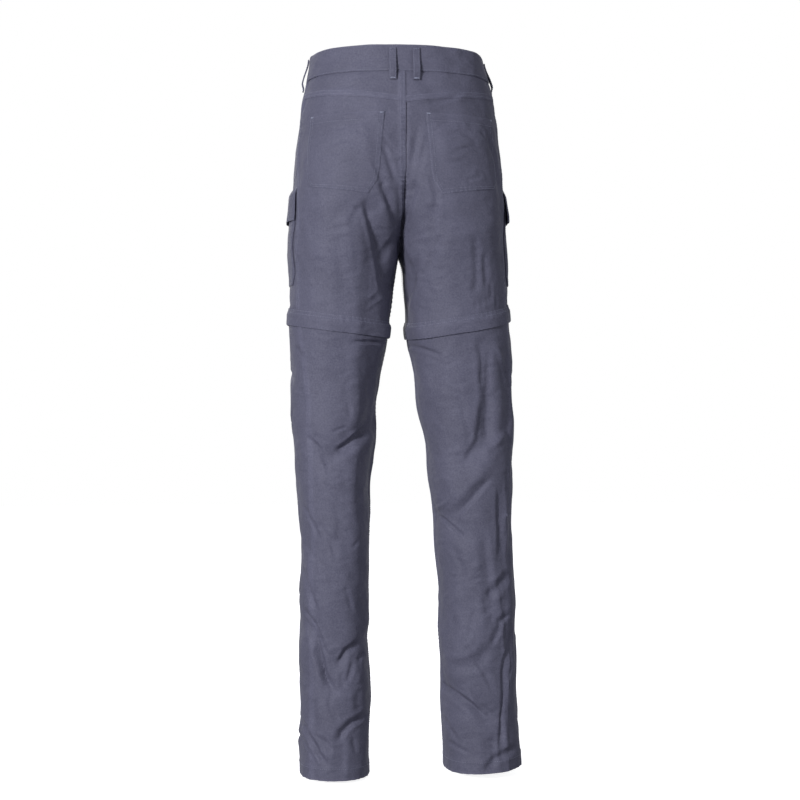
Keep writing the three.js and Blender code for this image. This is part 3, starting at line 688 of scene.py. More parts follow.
# Flat cut of each piece of cloth in metres: width round the body, length down it, and area where
# the cut isn't a rectangle
flatCuts = {
    "yoke": (0.199, 0.045, 0.0070), "back": (0.283, 0.338, 0.0685), "front": (0.333, 0.361, 0.095),
    "lower_back_left": (0.210, 0.671, 0.102), "lower_back_right": (0.231, 0.671, 0.113),
    "lower_front_left": (0.317, 0.675, 0.167), "lower_front_right": (0.328, 0.676, 0.171),
    "waistband": (0.756, 0.0385), "loop": (0.010, 0.052), "pocket": (0.128, 0.121, 0.0136),
    "cargo_pouch": (0.150, 0.129), "cargo_lid": (0.156, 0.046), "cover_knee": (0.52, 0.025),
    "fly_cover": (0.036, 0.136, 0.0045),
}
places = {}


def declare(cut):
    if cut not in flatCuts:      # zip tapes are narrow bands, not sheets
        return


# A sheet with the solid it replaces. Its place is kept for the sewing.
def addSheet(name, node, steps, place, cut, thick=cloth["thick"], material=shellCloth, slot=None,
             ring=False):
    piece = makeSheet(name, *steps, place, thick, material, ring)
    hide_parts(node)
    places[piece.name] = place
    declare(cut)


# The puckers of a felled seam and of a leg's hem, for the cloth and for its stitch rows alike
seamPucker = {"inset": 4, "pitch": 6.3, "reach": 4.5, "height": 0.3}
hemPucker = {"pitch": 13.0, "reach": 9, "height": 0.7, "start": 0.4}


def seamWave(along, away, height, seed):
    return pucker(along, away - seamPucker["inset"], seamPucker["pitch"], seamPucker["reach"], height, seed)


def hemWave(along, away, face):
    return pucker(along, away, hemPucker["pitch"], hemPucker["reach"], hemPucker["height"],
                  hemPucker["start"] + face)


# Panels of the legs and seat. Each is given by how far round it runs and the lines it is cut to.
def yokeLine(share):
    return cuts["yokeSide"] - cuts["yokeDrop"] * np.clip(share, 0, 1) ** cuts["yokeCurve"]


def bandLine(share):
    return cuts["band"] + 0 * share


def plateau(away):
    return 1 - smooth(cloth["lapWidth"], cloth["lapWidth"] + cloth["lapSlope"], away)


def legHeight(side, face, line, share):
    z = np.full(share.shape, float(line["z"]))
    for turn in range(5):
        start = read(side, "seam", z)
        end = face * halfLength(side, face, z)
        z = legLine(line, aroundAt(side, mix(start, end, share), z))
    return z


def panelPlace(side, face, top, bottom, spec):
    lapOut, lapIn, lapDown = spec.get("lapOut", 0), spec.get("lapIn", 0), spec.get("lapDown", 0)
    overOut = cloth["lapOver"] if lapOut else -cloth["seamGap"] / 2
    overIn = cloth["lapOver"] if lapIn else -cloth["seamGap"] / 2

    def place(u, v):
        upper = top(u) - spec.get("topGap", cloth["seamGap"] / 2)
        lower = bottom(u) - (cloth["lapOver"] if lapDown else -cloth["seamGap"] / 2)
        z = mix(upper, lower, v)
        seam = read(side, "seam", z)
        half = halfLength(side, face, z)
        distance = mix(seam - face * overOut, face * (half + overIn), u)
        around = aroundAt(side, distance, z)
        awayOut = np.abs(distance - seam)
        awayIn = half - np.abs(distance)
        lift = np.zeros(z.shape)
        wear = np.zeros(z.shape)
        for lap, away, seed in ((lapOut, awayOut, 1.0), (lapIn, awayIn, 2.0), (lapDown, z - lower, 3.0)):
            if lap:
                along = z if seed < 3 else distance
                rise = spec.get("lapHigh", cloth["lapLift"]) if seed == 2 else cloth["lapLift"]
                lift = np.maximum(lift, rise * plateau(away))
                high = spec.get("puckerIn", seamPucker["height"]) if seed == 2 else seamPucker["height"]
                lift += seamWave(along, away, high, seed)
                wear = np.maximum(wear, plateau(away))
            elif seed < 3:
                lift -= spec.get("groove", 0.35) * bell(away, 3)
        lift -= spec.get("tuck", 0) * bell(upper - z, 3.5)
        if spec.get("hem"):
            hemAway = z - lower
            lift += cloth["hemLift"] * (1 - smooth(spec["hem"], spec["hem"] + 1.5, hemAway))
            lift += hemWave(distance, hemAway, face)
            wear = np.maximum(wear, 0.8 * (1 - smooth(1.5, 4, hemAway)))
        points, normals = clothPoint(side, around, z, lift)
        return points, normals, np.stack([distance, z], -1), wear
    return place


def sheetSteps(width, length, face):
    step = cloth["spacingBack"] if face > 0 else cloth["spacingFront"]
    return max(4, round(width / step)), max(4, round(length / step))


# The centre-back seam is fuller than the others
centreSeam = {"puckerIn": 0.95, "groove": 1.1, "lapHigh": 1.3}


def addPanels(side):
    seam, hem = legLines[side]["seam"], legLines[side]["hem"]
    lowerTop = dict(seam, z=seam["z"] - cuts["zipHeight"] - cloth["seamGap"])
    laps = side == "left"        # the left half laps over the right one at both centre seams
    specs = {
        "yoke": {"face": 1, "top": bandLine, "bottom": yokeLine, "width": 150, "length": 40,
                 "lapOut": 1, "lapIn": laps, "lapDown": 1, "tuck": 1.2, "topGap": -cloth["underlap"],
                 **centreSeam},
        "back": {"face": 1, "top": yokeLine, "bottom": lambda u: legHeight(side, 1, seam, u), "width": 165,
                 "length": 330, "lapOut": 1, "lapIn": laps, "topGap": -cloth["underlap"],
                 **centreSeam},
        "front": {"face": -1, "top": bandLine, "bottom": lambda u: legHeight(side, -1, seam, u), "width": 220,
                  "length": 350, "lapIn": laps, "topGap": -cloth["underlap"]},
        "lower_back": {"face": 1, "top": lambda u: legHeight(side, 1, lowerTop, u),
                       "bottom": lambda u: legHeight(side, 1, hem, u), "width": 130, "length": 665,
                       "lapOut": 1, "lapIn": 1, "hem": cloth["hem"]},
        "lower_front": {"face": -1, "top": lambda u: legHeight(side, -1, lowerTop, u),
                        "bottom": lambda u: legHeight(side, -1, hem, u), "width": 230, "length": 665,
                        "hem": cloth["hem"]},
    }
    for name, spec in specs.items():
        place = panelPlace(side, spec["face"], spec["top"], spec["bottom"], spec)
        steps = sheetSteps(spec["width"], spec["length"], spec["face"])
        addSheet(f"{name}_panel_{side}", f"{name}_{side}", steps, place,
                 name if name in flatCuts else f"{name}_{side}")


for side in sides:
    addPanels(side)
print("seat and leg panels made")


# A piece laid on the panels. shape(u, v) gives the distance round from the side, the height, how
# far its outer face lies off the panels and how worn it is.
def patchPlace(side, shape):
    def place(u, v):
        distance, z, lift, wear = shape(u, v)
        around = aroundAt(side, distance, z)
        points, normals = clothPoint(side, around, z, lift)
        return points, normals, np.stack([distance, z], -1), wear
    return place


# Edge distance of a patch in millimetres, from its shares and its size
def edgeAway(u, v, width, length):
    return np.minimum(np.minimum(u, 1 - u) * width, np.minimum(v, 1 - v) * length)


# Waistband, one length from the front's left end to the button stand under it. A piece's puckers are
# their pitch, reach, height and start.
band = {"height": 38.5, "proud": 0.6, "thick": 2.0, "stand": 0.2, "standDrop": 3.0, "across": 330, "down": 18,
        "quarter": 180, "ripple": 0.8, "rowsAt": (1.8, 36.2), "rowSpan": 38, "pucker": (7.0, 4, 0.28, 0.7)}


def bandPlace(u, v):
    turn = u * (4 + band["stand"])
    wrapped = np.where(turn >= 4, turn - 4, turn)
    onLeft = wrapped < 2
    around = np.where(onLeft, wrapped - 1, 3 - wrapped)
    under = band["standDrop"] * smooth(4 - band["stand"] * 1.5, 4 - band["stand"] / 4, turn)
    z = -v * (band["height"] - cloth["seamGap"] / 2)
    walked = turn * band["quarter"]
    edge = np.minimum(-z, z + band["height"])
    lift = band["proud"] - under - rolled(edge)
    lift += pucker(walked, edge - 3, *band["pucker"])
    # a long shallow ripple across the back, left of the loops
    reached = smooth(200, 240, walked) * smooth(352, 330, walked)
    lift -= band["ripple"] * bell(z + 22 + 2.2 * np.sin(walked / 9), 3) * reached
    points, normals = np.zeros((len(u), 3)), np.zeros((len(u), 3))
    for side, pick in (("left", onLeft), ("right", ~onLeft)):
        made, out = clothPoint(side, around[pick], z[pick], lift[pick])
        points[pick], normals[pick] = made, out
    return points, normals, np.stack([walked, z], -1), rubbed(edge, 1.5)


addSheet("waistband_strip", "waistband", (band["across"], band["down"]), bandPlace, "waistband",
         band["thick"])

# Belt loops, sewn down at both ends and bowed off the waistband between them
loop = {"width": 10, "top": -5, "bottom": -52, "bow": {"back": 2.6, "side": 3.9, "front": 3.2},
        "sewn": 0.03, "full": 0.74, "thick": 1.5, "backFromCentre": 17, "sideBehind": 3,
        "frontFromCentre": 62, "across": 8, "down": 36}


def loopShape(centre, bowed):
    def shape(u, v):
        z = mix(loop["top"], loop["bottom"], v)
        bow = smooth(loop["sewn"], loop["full"], v) * smooth(1 - loop["sewn"], loop["full"], v)
        rim = 0.3 * (1 - np.minimum(1, np.minimum(u, 1 - u) * loop["width"] / 1.2)) ** 2
        lift = 0.3 + band["proud"] + loop["thick"] + 0.6 + bowed * bow - rim
        return centre(z) + (u - 0.5) * loop["width"], z, lift, 0.6 * (rim > 0.1)
    return shape


def addLoops(side):
    centres = {"back": lambda z: halfLength(side, 1, z) - loop["backFromCentre"],
               "side": lambda z: loop["sideBehind"] + 0 * z,
               "front": lambda z: loop["frontFromCentre"] - halfLength(side, -1, z)}
    for place, centre in centres.items():
        made = patchPlace(side, loopShape(centre, loop["bow"][place]))
        addSheet(f"loop_{place}_{side}", f"belt_loop_{place}_{side}", (loop["across"], loop["down"]), made,
                 "loop", loop["thick"])


# Back patch pockets with the lower inner corner cut off: height, inner and outer edge from the
# centre seam, and how much lower the outer edge lies
pocketRows = np.array([
    [-99, 29, 151, 0], [-125, 32, 151, 0], [-155, 35, 153, 1], [-180, 38, 154.5, 3],
    [-196, 42, 154, 6], [-206, 50, 151, 9], [-216, 58, 144, 12]], float)
pocket = {"width": 118, "length": 121, "across": 56, "down": 58, "lift": 1.2, "puff": 1.0, "hem": 12,
          "pucker": (6.0, 4, 0.28, 1.7)}


def pocketShape(side):
    def shape(u, v):
        level = mix(pocketRows[0, 0], pocketRows[-1, 0], v)
        inner, outer, lower = (np.interp(-level, -pocketRows[:, 0], pocketRows[:, c]) for c in (1, 2, 3))
        z = level + lower * u
        distance = halfLength(side, 1, z) - mix(inner, outer, u)
        away = edgeAway(u, v, pocket["width"], pocket["length"])
        lift = pocket["lift"] + pocket["puff"] * smooth(4, 26, away)
        lift += 0.5 * (1 - smooth(pocket["hem"], pocket["hem"] + 2, v * pocket["length"]))
        lift -= rolled(away)
        sideways, below = np.minimum(u, 1 - u) * pocket["width"], (1 - v) * pocket["length"]
        along = np.where(sideways < below, z, distance)
        lift += pucker(along, np.minimum(sideways, below) - 4, *pocket["pucker"])
        return distance, z, lift, rubbed(away)
    return shape


def addBackPocket(side):
    addSheet(f"pocket_back_{side}", f"back_pocket_{side}", (pocket["across"], pocket["down"]),
             patchPlace(side, pocketShape(side)), "pocket")


# Cargo pocket over the side seam, and its flap
cargo = {"back": 42, "front": -108, "top": -212, "bottom": -341, "puff": 3.0, "corner": 8, "flat": 0.7,
         "cornerStart": 0.86, "lift": 1.6, "tuck": 1.2, "tuckReach": 3, "across": 60, "down": 52,
         "pucker": (6.5, 4, 0.3, 2.2)}
flap = {"over": 3, "rows": [[-201, 0, 0], [-209, 1, 0], [-228, 1, 1.4], [-247, 1, 2.8]], "lift": 1.6,
        "across": 62, "down": 22, "kick": {"left": 0.0, "right": 3.6}, "pucker": (8.0, 5, 0.3, 2.9)}
cargo["width"], cargo["length"] = cargo["back"] - cargo["front"], cargo["top"] - cargo["bottom"]
flap["width"], flap["length"] = cargo["width"] + 2 * flap["over"], flap["rows"][0][0] - flap["rows"][-1][0]


def pillow(u):
    return np.sqrt(np.sin(np.pi * np.clip(u, 0, 1)))


def cargoShape(u, v):
    puff = cargo["puff"] * pillow(u) * smooth(1, cargo["flat"], v)
    corner = cargo["corner"] * smooth(cargo["cornerStart"], 1, v) * (1 - 2 * u)
    distance, z = mix(cargo["front"], cargo["back"], u) + corner, mix(cargo["top"], cargo["bottom"], v)
    away = edgeAway(u, v, cargo["width"], cargo["length"])
    lift = cargo["lift"] + puff - rolled(away)
    lift += pucker(z, np.minimum(u, 1 - u) * cargo["width"] - 4, *cargo["pucker"])
    # the tuck of fullness down the middle
    lift -= cargo["tuck"] * bell((u - 0.5) * cargo["width"], cargo["tuckReach"]) * smooth(1, 0.75, v)
    return distance, z, lift, rubbed(away)


def flapShape(side):
    table = np.array(flap["rows"], float)

    def shape(u, v):
        row = v * (len(table) - 1)
        z, clear, stand = (np.interp(row, range(len(table)), table[:, c]) for c in range(3))
        away = edgeAway(u, v, flap["width"], flap["length"])
        lift = flap["lift"] + clear * (1.5 + cargo["puff"] * pillow(u)) + stand * pillow(u)
        lift += flap["kick"][side] * smooth(0.3, 1, v) * smooth(0.8, 1, u)
        lift -= rolled(away, 0.4)
        lift += pucker(u * flap["width"], (1 - v) * flap["length"] - 3, *flap["pucker"])
        distance = mix(cargo["front"] - flap["over"], cargo["back"] + flap["over"], u)
        return distance, z, lift, rubbed(away)
    return shape


def addCargo(side):
    for name, node, spec, shape in (("cargo_pouch", "cargo_pocket", cargo, cargoShape),
                                    ("cargo_lid", "cargo_flap", flap, flapShape(side))):
        addSheet(f"{name}_{side}", f"{node}_{side}", (spec["across"], spec["down"]), patchPlace(side, shape),
                 name)


# Knee: the cover sewn above the zip-off line, and the zip under it
cover = {"above": 7, "below": 18, "stand": 1.2, "bulge": 1.5, "spread": 0.11, "gap": 0.8,
         "slider": {"left": 0.86, "right": -0.2}, "across": 210, "down": 12, "sewnLift": 1.1,
         "rowsAt": (2.0, 6.6), "pucker": (7.5, 7, 0.55), "sag": 0.5}
cover["length"] = cover["above"] + cover["below"]
zipLine = {"across": 150, "down": 4}


def coverPlace(side):
    def place(u, v):
        around = 1 - 2 * u + tiny
        line = legLine(legLines[side]["seam"], around)
        z = mix(line + cover["above"], line - cover["below"], v)
        bulge = cover["bulge"] * bell(around - cover["slider"][side], cover["spread"])
        down = smooth(0.05, 0.4, v)
        lift = cover["sewnLift"] + (cover["gap"] + cover["stand"] + cloth["thick"] - 0.4 + bulge) * down
        half = np.where(around > 0, halfLength(side, 1, z), halfLength(side, -1, z))
        distance = around * half
        inseam = smooth(1, 0.93, np.abs(around))
        lift += inseam * pucker(distance, z - line - 2, *cover["pucker"], 4.0 + sides[side])
        lift += (inseam * cover["sag"] * smooth(0.3, 1, v)
                 * np.sin(distance / 21 + 1.3 * np.sin(distance / 37)))
        edge = (1 - v) * cover["length"]
        lift -= rolled(edge, 0.4, 1.4)
        points, normals = clothPoint(side, around, z, lift)
        return points, normals, np.stack([distance, z], -1), rubbed(edge)
    return place


def tapePlace(side):
    def place(u, v):
        around = 1 - 2 * u + tiny
        top = legLine(legLines[side]["seam"], around) - cloth["seamGap"]
        z = mix(top, top - cuts["zipHeight"] + cloth["seamGap"], v)
        half = np.where(around > 0, halfLength(side, 1, z), halfLength(side, -1, z))
        points, normals = clothPoint(side, around, z, np.zeros(z.shape))
        return points, normals, np.stack([around * half, z], -1), np.zeros(z.shape)
    return place


def addKnee(side):
    for name, node, spec, place, material, slot in (
            ("cover_knee", "knee_cover", cover, coverPlace(side), shellCloth, "cloth"),
            ("tape_knee", "knee_zip", zipLine, tapePlace(side), zipTape, "zip_tape")):
        addSheet(f"{name}_{side}", f"{node}_{side}", (spec["across"], spec["down"]), place, name,
                 material=material, slot=slot, ring=True)


# Fly: the zip beside the front's centre seam and the flap sewn over it
fly = {"top": -40, "bottom": -176, "width": 36, "start": 1.5, "zipWidth": 7, "zipInset": 2, "zipShort": 14,
       "taper": 0.8, "curveStart": 0.6, "raised": 0.35, "flat": 0.75, "across": 20, "down": 60, "lift": 1.1,
       "pucker": (6, 4, 0.25, 5.1)}
fly["length"] = fly["top"] - fly["bottom"]


def flyDistance(z):
    return fly["start"] - halfLength("left", -1, z)


def flyTapeShape(u, v):
    z = mix(fly["top"], fly["bottom"] + fly["zipShort"], v)
    return flyDistance(z) + fly["zipInset"] + u * fly["zipWidth"], z, 1.8 + 0 * z, 0 * z


def flyFlapShape(u, v):
    z = mix(fly["top"], fly["bottom"], v)
    width = fly["width"] * np.sqrt(1 - fly["taper"] * smooth(fly["curveStart"], 1, v))
    over = 2.4 * smooth(fly["flat"], fly["raised"], u * width / fly["width"])
    away = edgeAway(u, v, fly["width"], fly["length"])
    lift = fly["lift"] + over - rolled(away, 0.4, 1.5)
    lift += pucker(z, (1 - u) * width - 4, *fly["pucker"])
    return flyDistance(z) + u * width, z, lift, rubbed(away)


def addFly():
    for name, node, shape, steps, material, slot in (
            ("fly_tape", "fly_zip", flyTapeShape, (6, 40), zipTape, "zip_tape"),
            ("fly_cover", "fly_flap", flyFlapShape, (fly["across"], fly["down"]), shellCloth, "cloth")):
        addSheet(name, node, steps, patchPlace("left", shape), name,
                 material=material, slot=slot)


for side in sides:
    addLoops(side)
    addBackPocket(side)
    addCargo(side)
    addKnee(side)
addFly()
print("waistband, loops, pockets, covers and fly made")


# Sewing. One stitch is modelled, then copied along each row of its group.
stitch = {"length": 2.3, "pitch": 3.1, "width": 0.7, "high": 0.5, "rise": 0.12, "first": 1.8, "second": 6.6,
          "tackPitch": 0.75, "pathStep": 3.0}
# Where the rows end: at the crotch, and this far below the zip-off line, under the cover and past it
seamEnds = {"torso": -292, "thigh": -300, "underCover": 5, "pastCover": 30}
sewn = {}                    # group: centres, directions along, directions out, lengths and widths


def modelUnit():
    deselectAll()
    bpy.ops.mesh.primitive_uv_sphere_add(segments=5, ring_count=4, radius=0.5, rotation=(0, math.pi / 2, 0))
    unit = bpy.context.object
    bpy.ops.object.transform_apply(rotation=True)
    points = np.zeros(len(unit.data.vertices) * 3)
    unit.data.vertices.foreach_get("co", points)
    faces = [tuple(face.vertices) for face in unit.data.polygons]
    bpy.data.objects.remove(unit)
    return points.reshape(-1, 3), faces


unitPoints, unitFaces = modelUnit()


# The length of a path, and a function that reads a table of its points at lengths along it
def measurePath(points):
    walked = np.concatenate([[0], np.cumsum(np.linalg.norm(np.diff(points, axis=0), axis=1))])

    def at(table, where):
        return np.stack([np.interp(where, walked, table[:, c]) for c in range(3)], -1)
    return walked[-1], at


def sewRow(group, points, normals):
    length, at = measurePath(points)
    count = max(1, int(length / stitch["pitch"]))
    middles = (np.arange(count) + 0.5) * length / count
    along = at(points, middles + stitch["length"] / 2) - at(points, middles - stitch["length"] / 2)
    addStitches(group, at(points, middles), along, at(normals, middles), stitch["length"], stitch["width"])


def addStitches(group, centres, along, out, length, width):
    along = along / np.linalg.norm(along, axis=1, keepdims=True)
    out = out - along * (out * along).sum(1, keepdims=True)
    out = out / np.linalg.norm(out, axis=1, keepdims=True)
    sizes = np.tile([length, width, stitch["high"]], (len(centres), 1))
    sewn.setdefault(group, []).append((centres + out * stitch["rise"], along, out, sizes))


# A bartack: a bar of tight stitches side by side, from the first of two places on a sheet towards
# the second
def bartack(group, place, u, v, length, across=2.0):
    points, normals = pathOn(place, u, v)
    along = points[1] - points[0]
    along, out = along / np.linalg.norm(along), normals[0]
    count = int(length / stitch["tackPitch"])
    shifts = (np.arange(count) - (count - 1) / 2) * stitch["tackPitch"]
    centres = points[0] + shifts[:, None] * along
    addStitches(group, centres, np.tile(np.cross(out, along), (count, 1)), np.tile(out, (count, 1)), across,
                stitch["width"])


def copyUnits(name, groups, material):
    centres, along, out, sizes = (np.concatenate([row[i] for row in groups]) for i in range(4))
    frames = np.stack([along, np.cross(out, along), out], 1)         # rows are the stitch's own axes
    local = unitPoints[None] * sizes[:, None, :]
    points = centres[:, None] + np.einsum("npk,nkc->npc", local, frames)
    start = np.arange(len(centres))[:, None] * len(unitPoints)
    faces = [tuple(corner + s for corner in face) for s in start[:, 0] for face in unitFaces]
    mesh = bpy.data.meshes.new(name)
    mesh.from_pydata((points.reshape(-1, 3) * mm).tolist(), [], faces)
    piece = bpy.data.objects.new(name, mesh)
    bpy.context.collection.objects.link(piece)
    deselectAll()
    piece.select_set(True)
    bpy.context.view_layer.objects.active = piece
    bpy.ops.object.shade_smooth()
    finish(piece, material)


# Points and outward directions of a sheet at given shares of its width and length
def pathOn(place, u, v):
    u, v = np.broadcast_arrays(np.asarray(u, float), np.asarray(v, float))
    return place(u.copy(), v.copy())[:2]


# Twin rows down a felled seam
def sewSeam(side, face, fromInner, top, bottom, group, high=seamPucker["height"], rise=cloth["lapLift"]):
    z = np.arange(top, bottom, -stitch["pathStep"])
    for away in (stitch["first"], stitch["second"]):
        half = halfLength(side, face, z)
        distance = face * (half - away) if fromInner else read(side, "seam", z) + face * away
        along = aroundAt(side, distance, z)
        lift = rise + seamWave(z, away + 0 * z, high, 2.0 if fromInner else 1.0)
        points, normals = clothPoint(side, along, z, lift)
        sewRow(group, points, normals)


def sewPanels(side):
    group = f"sewing_{side}"
    seam, hem = legLines[side]["seam"], legLines[side]["hem"]
    thighEnd, full = seam["z"] - seamEnds["underCover"], (centreSeam["puckerIn"], centreSeam["lapHigh"])
    sewSeam(side, 1, False, cuts["band"] - 1, thighEnd, group)
    sewSeam(side, 1, True, seamEnds["thigh"], thighEnd, group, *full)
    sewSeam(side, 1, True, seam["z"] - seamEnds["pastCover"], hem["z"] + 4, group)
    if side == "left":
        sewSeam(side, 1, True, cuts["band"] - 1, seamEnds["torso"], group, *full)
        sewSeam(side, -1, True, fly["bottom"] - 4, seamEnds["torso"], group)
    share = np.linspace(0.02, 0.99, 60)
    for away in (stitch["first"], stitch["second"]):
        z = yokeLine(share) + away
        around = aroundAt(side, mix(read(side, "seam", z), halfLength(side, 1, z), share), z)
        points, normals = clothPoint(side, around, z, np.full(z.shape, cloth["lapLift"]))
        sewRow(group, points, normals)
    for face in (1, -1):
        share = np.linspace(0.01, 0.99, 90)
        z = legHeight(side, face, hem, share) + cloth["hemRow"]
        around = aroundAt(side, mix(read(side, "seam", z), face * halfLength(side, face, z), share), z)
        lift = cloth["hemRowLift"] + hemWave(0 * z, cloth["hemRow"] + 0 * z, face)
        points, normals = clothPoint(side, around, z, lift)
        sewRow(group, points, normals)


def sewEdges(side):
    group, tacks = f"sewing_{side}", f"tacks_{side}"
    steps = np.linspace(0, 1, 80)
    place = places[f"pocket_back_{side}"]
    for away in (stitch["first"], stitch["second"]):
        u, v = away / pocket["width"], away / pocket["length"]
        sewRow(group, *pathOn(place, u, steps * (1 - v)))
        sewRow(group, *pathOn(place, 1 - u, steps * (1 - v)))
        sewRow(group, *pathOn(place, mix(u, 1 - u, steps), 1 - v))
    sewRow(group, *pathOn(place, mix(0.01, 0.99, steps), pocket["hem"] / pocket["length"]))
    for u in (0.035, 0.965):
        bartack(tacks, place, [u, u + 0.02], [0.014, 0.014], 5.5)
    for name, spec, allRound in (("cargo_pouch", cargo, False), ("cargo_lid", flap, True)):
        place = places[f"{name}_{side}"]
        for away in (stitch["first"], stitch["second"]):
            u, v = away / spec["width"], away / spec["length"]
            start = v if allRound else 0.1
            sewRow(group, *pathOn(place, u, mix(start, 1 - v, steps)))
            sewRow(group, *pathOn(place, 1 - u, mix(start, 1 - v, steps)))
            sewRow(group, *pathOn(place, mix(u, 1 - u, steps), 1 - v))
            if allRound:
                sewRow(group, *pathOn(place, mix(0.01, 0.99, steps), v))
    for u in (0.02, 0.98):
        bartack(tacks, places[f"cargo_lid_{side}"], [u, u], [0.03, 0.2], 7)
    place = places[f"cover_knee_{side}"]
    for away in cover["rowsAt"]:
        sewRow(group, *pathOn(place, np.linspace(0, 1, 260), away / cover["length"]))
    for where in ("back", "side", "front"):
        place = places[f"loop_{where}_{side}"]
        for u in (0.16, 0.84):
            sewRow(group, *pathOn(place, u, steps))
        for bars, v in ((group, 0.035), (tacks, 0.955)):
            bartack(bars, place, [0.5, 0.9], [v, v], 7, 1.8)


def sewFront():
    for away in band["rowsAt"]:
        around = np.linspace(0.002, 4 / (4 + band["stand"]), 420)
        sewRow("sewing_waist", *pathOn(bandPlace, around, away / band["rowSpan"]))
    place = places["fly_cover"]
    steps = np.linspace(0, 1, 80)
    for away in (stitch["first"], stitch["second"]):
        u, v = away / fly["width"], away / fly["length"]
        sewRow("sewing_waist", *pathOn(place, 1 - u * (1 + 0.8 * steps**3), steps * (1 - v)))
        sewRow("sewing_waist", *pathOn(place, mix(0.05, 1 - u * 2, steps), 1 - v))
    bartack("sewing_waist", place, [0.3, 0.45], [0.93, 0.93], 9)


for side in sides:
    sewPanels(side)
    sewEdges(side)
sewFront()
print("rows sewn:", {group: sum(len(row[0]) for row in made) for group, made in sewn.items()})
# the tack groups take the paler copy of the thread, a painted highlight
for group, made in sewn.items():
    copyUnits(group, made, tackThreadPaintedHighlight if group.startswith("tacks") else thread)

# Zip coils: two rows of moulded loops that mesh along the middle of the tape
coil = {"pitch": 1.4, "long": 2.6, "wide": 1.0, "apart": 0.7, "rise": 0.5}


def coilRow(path):
    made = []
    for share in (-1, 1):
        points, normals = path(share)
        length, at = measurePath(points)
        where = np.arange(coil["pitch"] * (1 + 0.5 * share), length, coil["pitch"])
        centres, out = at(points, where), at(normals, where)
        forward = np.gradient(centres, axis=0)
        across = np.cross(forward, out)
        across /= np.linalg.norm(across, axis=1, keepdims=True)
        sizes = np.tile([coil["long"], coil["wide"], coil["wide"]], (len(centres), 1))
        made.append((centres + out * coil["rise"], across, out, sizes))
    return made


def addCoils():
    for side in sides:
        place = places[f"tape_knee_{side}"]
        made = coilRow(lambda share: pathOn(place, np.linspace(0, 1, 300),
                                            0.5 + share * coil["apart"] / cuts["zipHeight"]))
        copyUnits(f"coil_knee_{side}", made, nylonCoil)
    place = places["fly_tape"]
    made = coilRow(lambda share: pathOn(place, 0.5 + share * coil["apart"] / fly["zipWidth"],
                                        np.linspace(0, 1, 90)))
    copyUnits("coil_fly", made, nylonCoil)


addCoils()


# Places an object made flat at the origin: its x runs across, y up and z out of the cloth
def seat(piece, side, around, z, lift):
    point, out = clothPoint(side, np.array([around]), np.array([z]), np.array([lift]))
    out = out[0]
    up = np.array([0, 0, 1]) - out * out[2]
    up /= np.linalg.norm(up)
    across = np.cross(up, out)
    matrix = np.eye(4)
    matrix[:3, 0], matrix[:3, 1], matrix[:3, 2] = across, up, out
    matrix[:3, 3] = point[0] * mm
    piece.data.transform(Matrix(matrix.tolist()))


def addBlock(size, at, rounded, taper):
    deselectAll()
    bpy.ops.mesh.primitive_cube_add(size=1, location=tuple(np.array(at) * mm),
                                    scale=tuple(np.array(size) * mm))
    block = bpy.context.object
    bpy.ops.object.transform_apply(location=True, scale=True)
    if taper:
        low = min(v.co.y for v in block.data.vertices)
        for v in block.data.vertices:
            if v.co.y < low + tiny:
                v.co.x *= taper
    edge = block.modifiers.new("edge", "BEVEL")
    edge.width, edge.segments = rounded * mm, 3
    bpy.ops.object.modifier_apply(modifier=edge.name)
    return block


sliderLift = 0.6
# The slider's blocks: size, centre, rounding, and how wide the lower end is against the upper one
sliderBlocks = [
    ((7, 10, 0.7), (0, 0, 0.35), 0.3, 0.62),        # back plate
    ((7, 10, 0.7), (0, 0, 1.45), 0.3, 0.62),        # front plate
    ((1.6, 3.4, 1.2), (0, 2.8, 0.9), 0.25, None),   # wedge between them
    ((1.8, 6.4, 0.7), (0, 0, 2.35), 0.3, None),     # bridge, then its two feet
    ((1.8, 0.9, 0.9), (0, 2.8, 1.95), 0.2, None),
    ((1.8, 0.9, 0.9), (0, -2.8, 1.95), 0.2, None),
    ((3.6, 10.5, 0.6), (0, -7.2, 2.2), 0.28, 1.25),     # pull tab
]


def addSlider(side):
    parts = [addBlock(*block) for block in sliderBlocks]
    deselectAll()
    for piece in parts:
        piece.select_set(True)
    bpy.context.view_layer.objects.active = parts[0]
    bpy.ops.object.join()
    piece = bpy.context.object
    piece.name = piece.data.name = f"slider_knee_{side}"
    bpy.ops.object.shade_smooth_by_angle(angle=math.radians(40))
    around = cover["slider"][side]
    z = float(legLine(legLines[side]["seam"], np.array([around]))[0]) - cuts["zipHeight"] / 2
    seat(piece, side, around, z, sliderLift)
    finish(piece, gunmetal)
    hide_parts(f"zip_slider_{side}")


for side in sides:
    addSlider(side)

# Four-hole button on the waistband's left end
button = {"radius": 8, "thick": 3, "rim": 1.6, "dish": 0.8, "hole": 0.95, "holeAt": 1.7,
          "fromCentre": 15, "lift": 1.2, "slitHalf": 11, "slitStitches": 34}


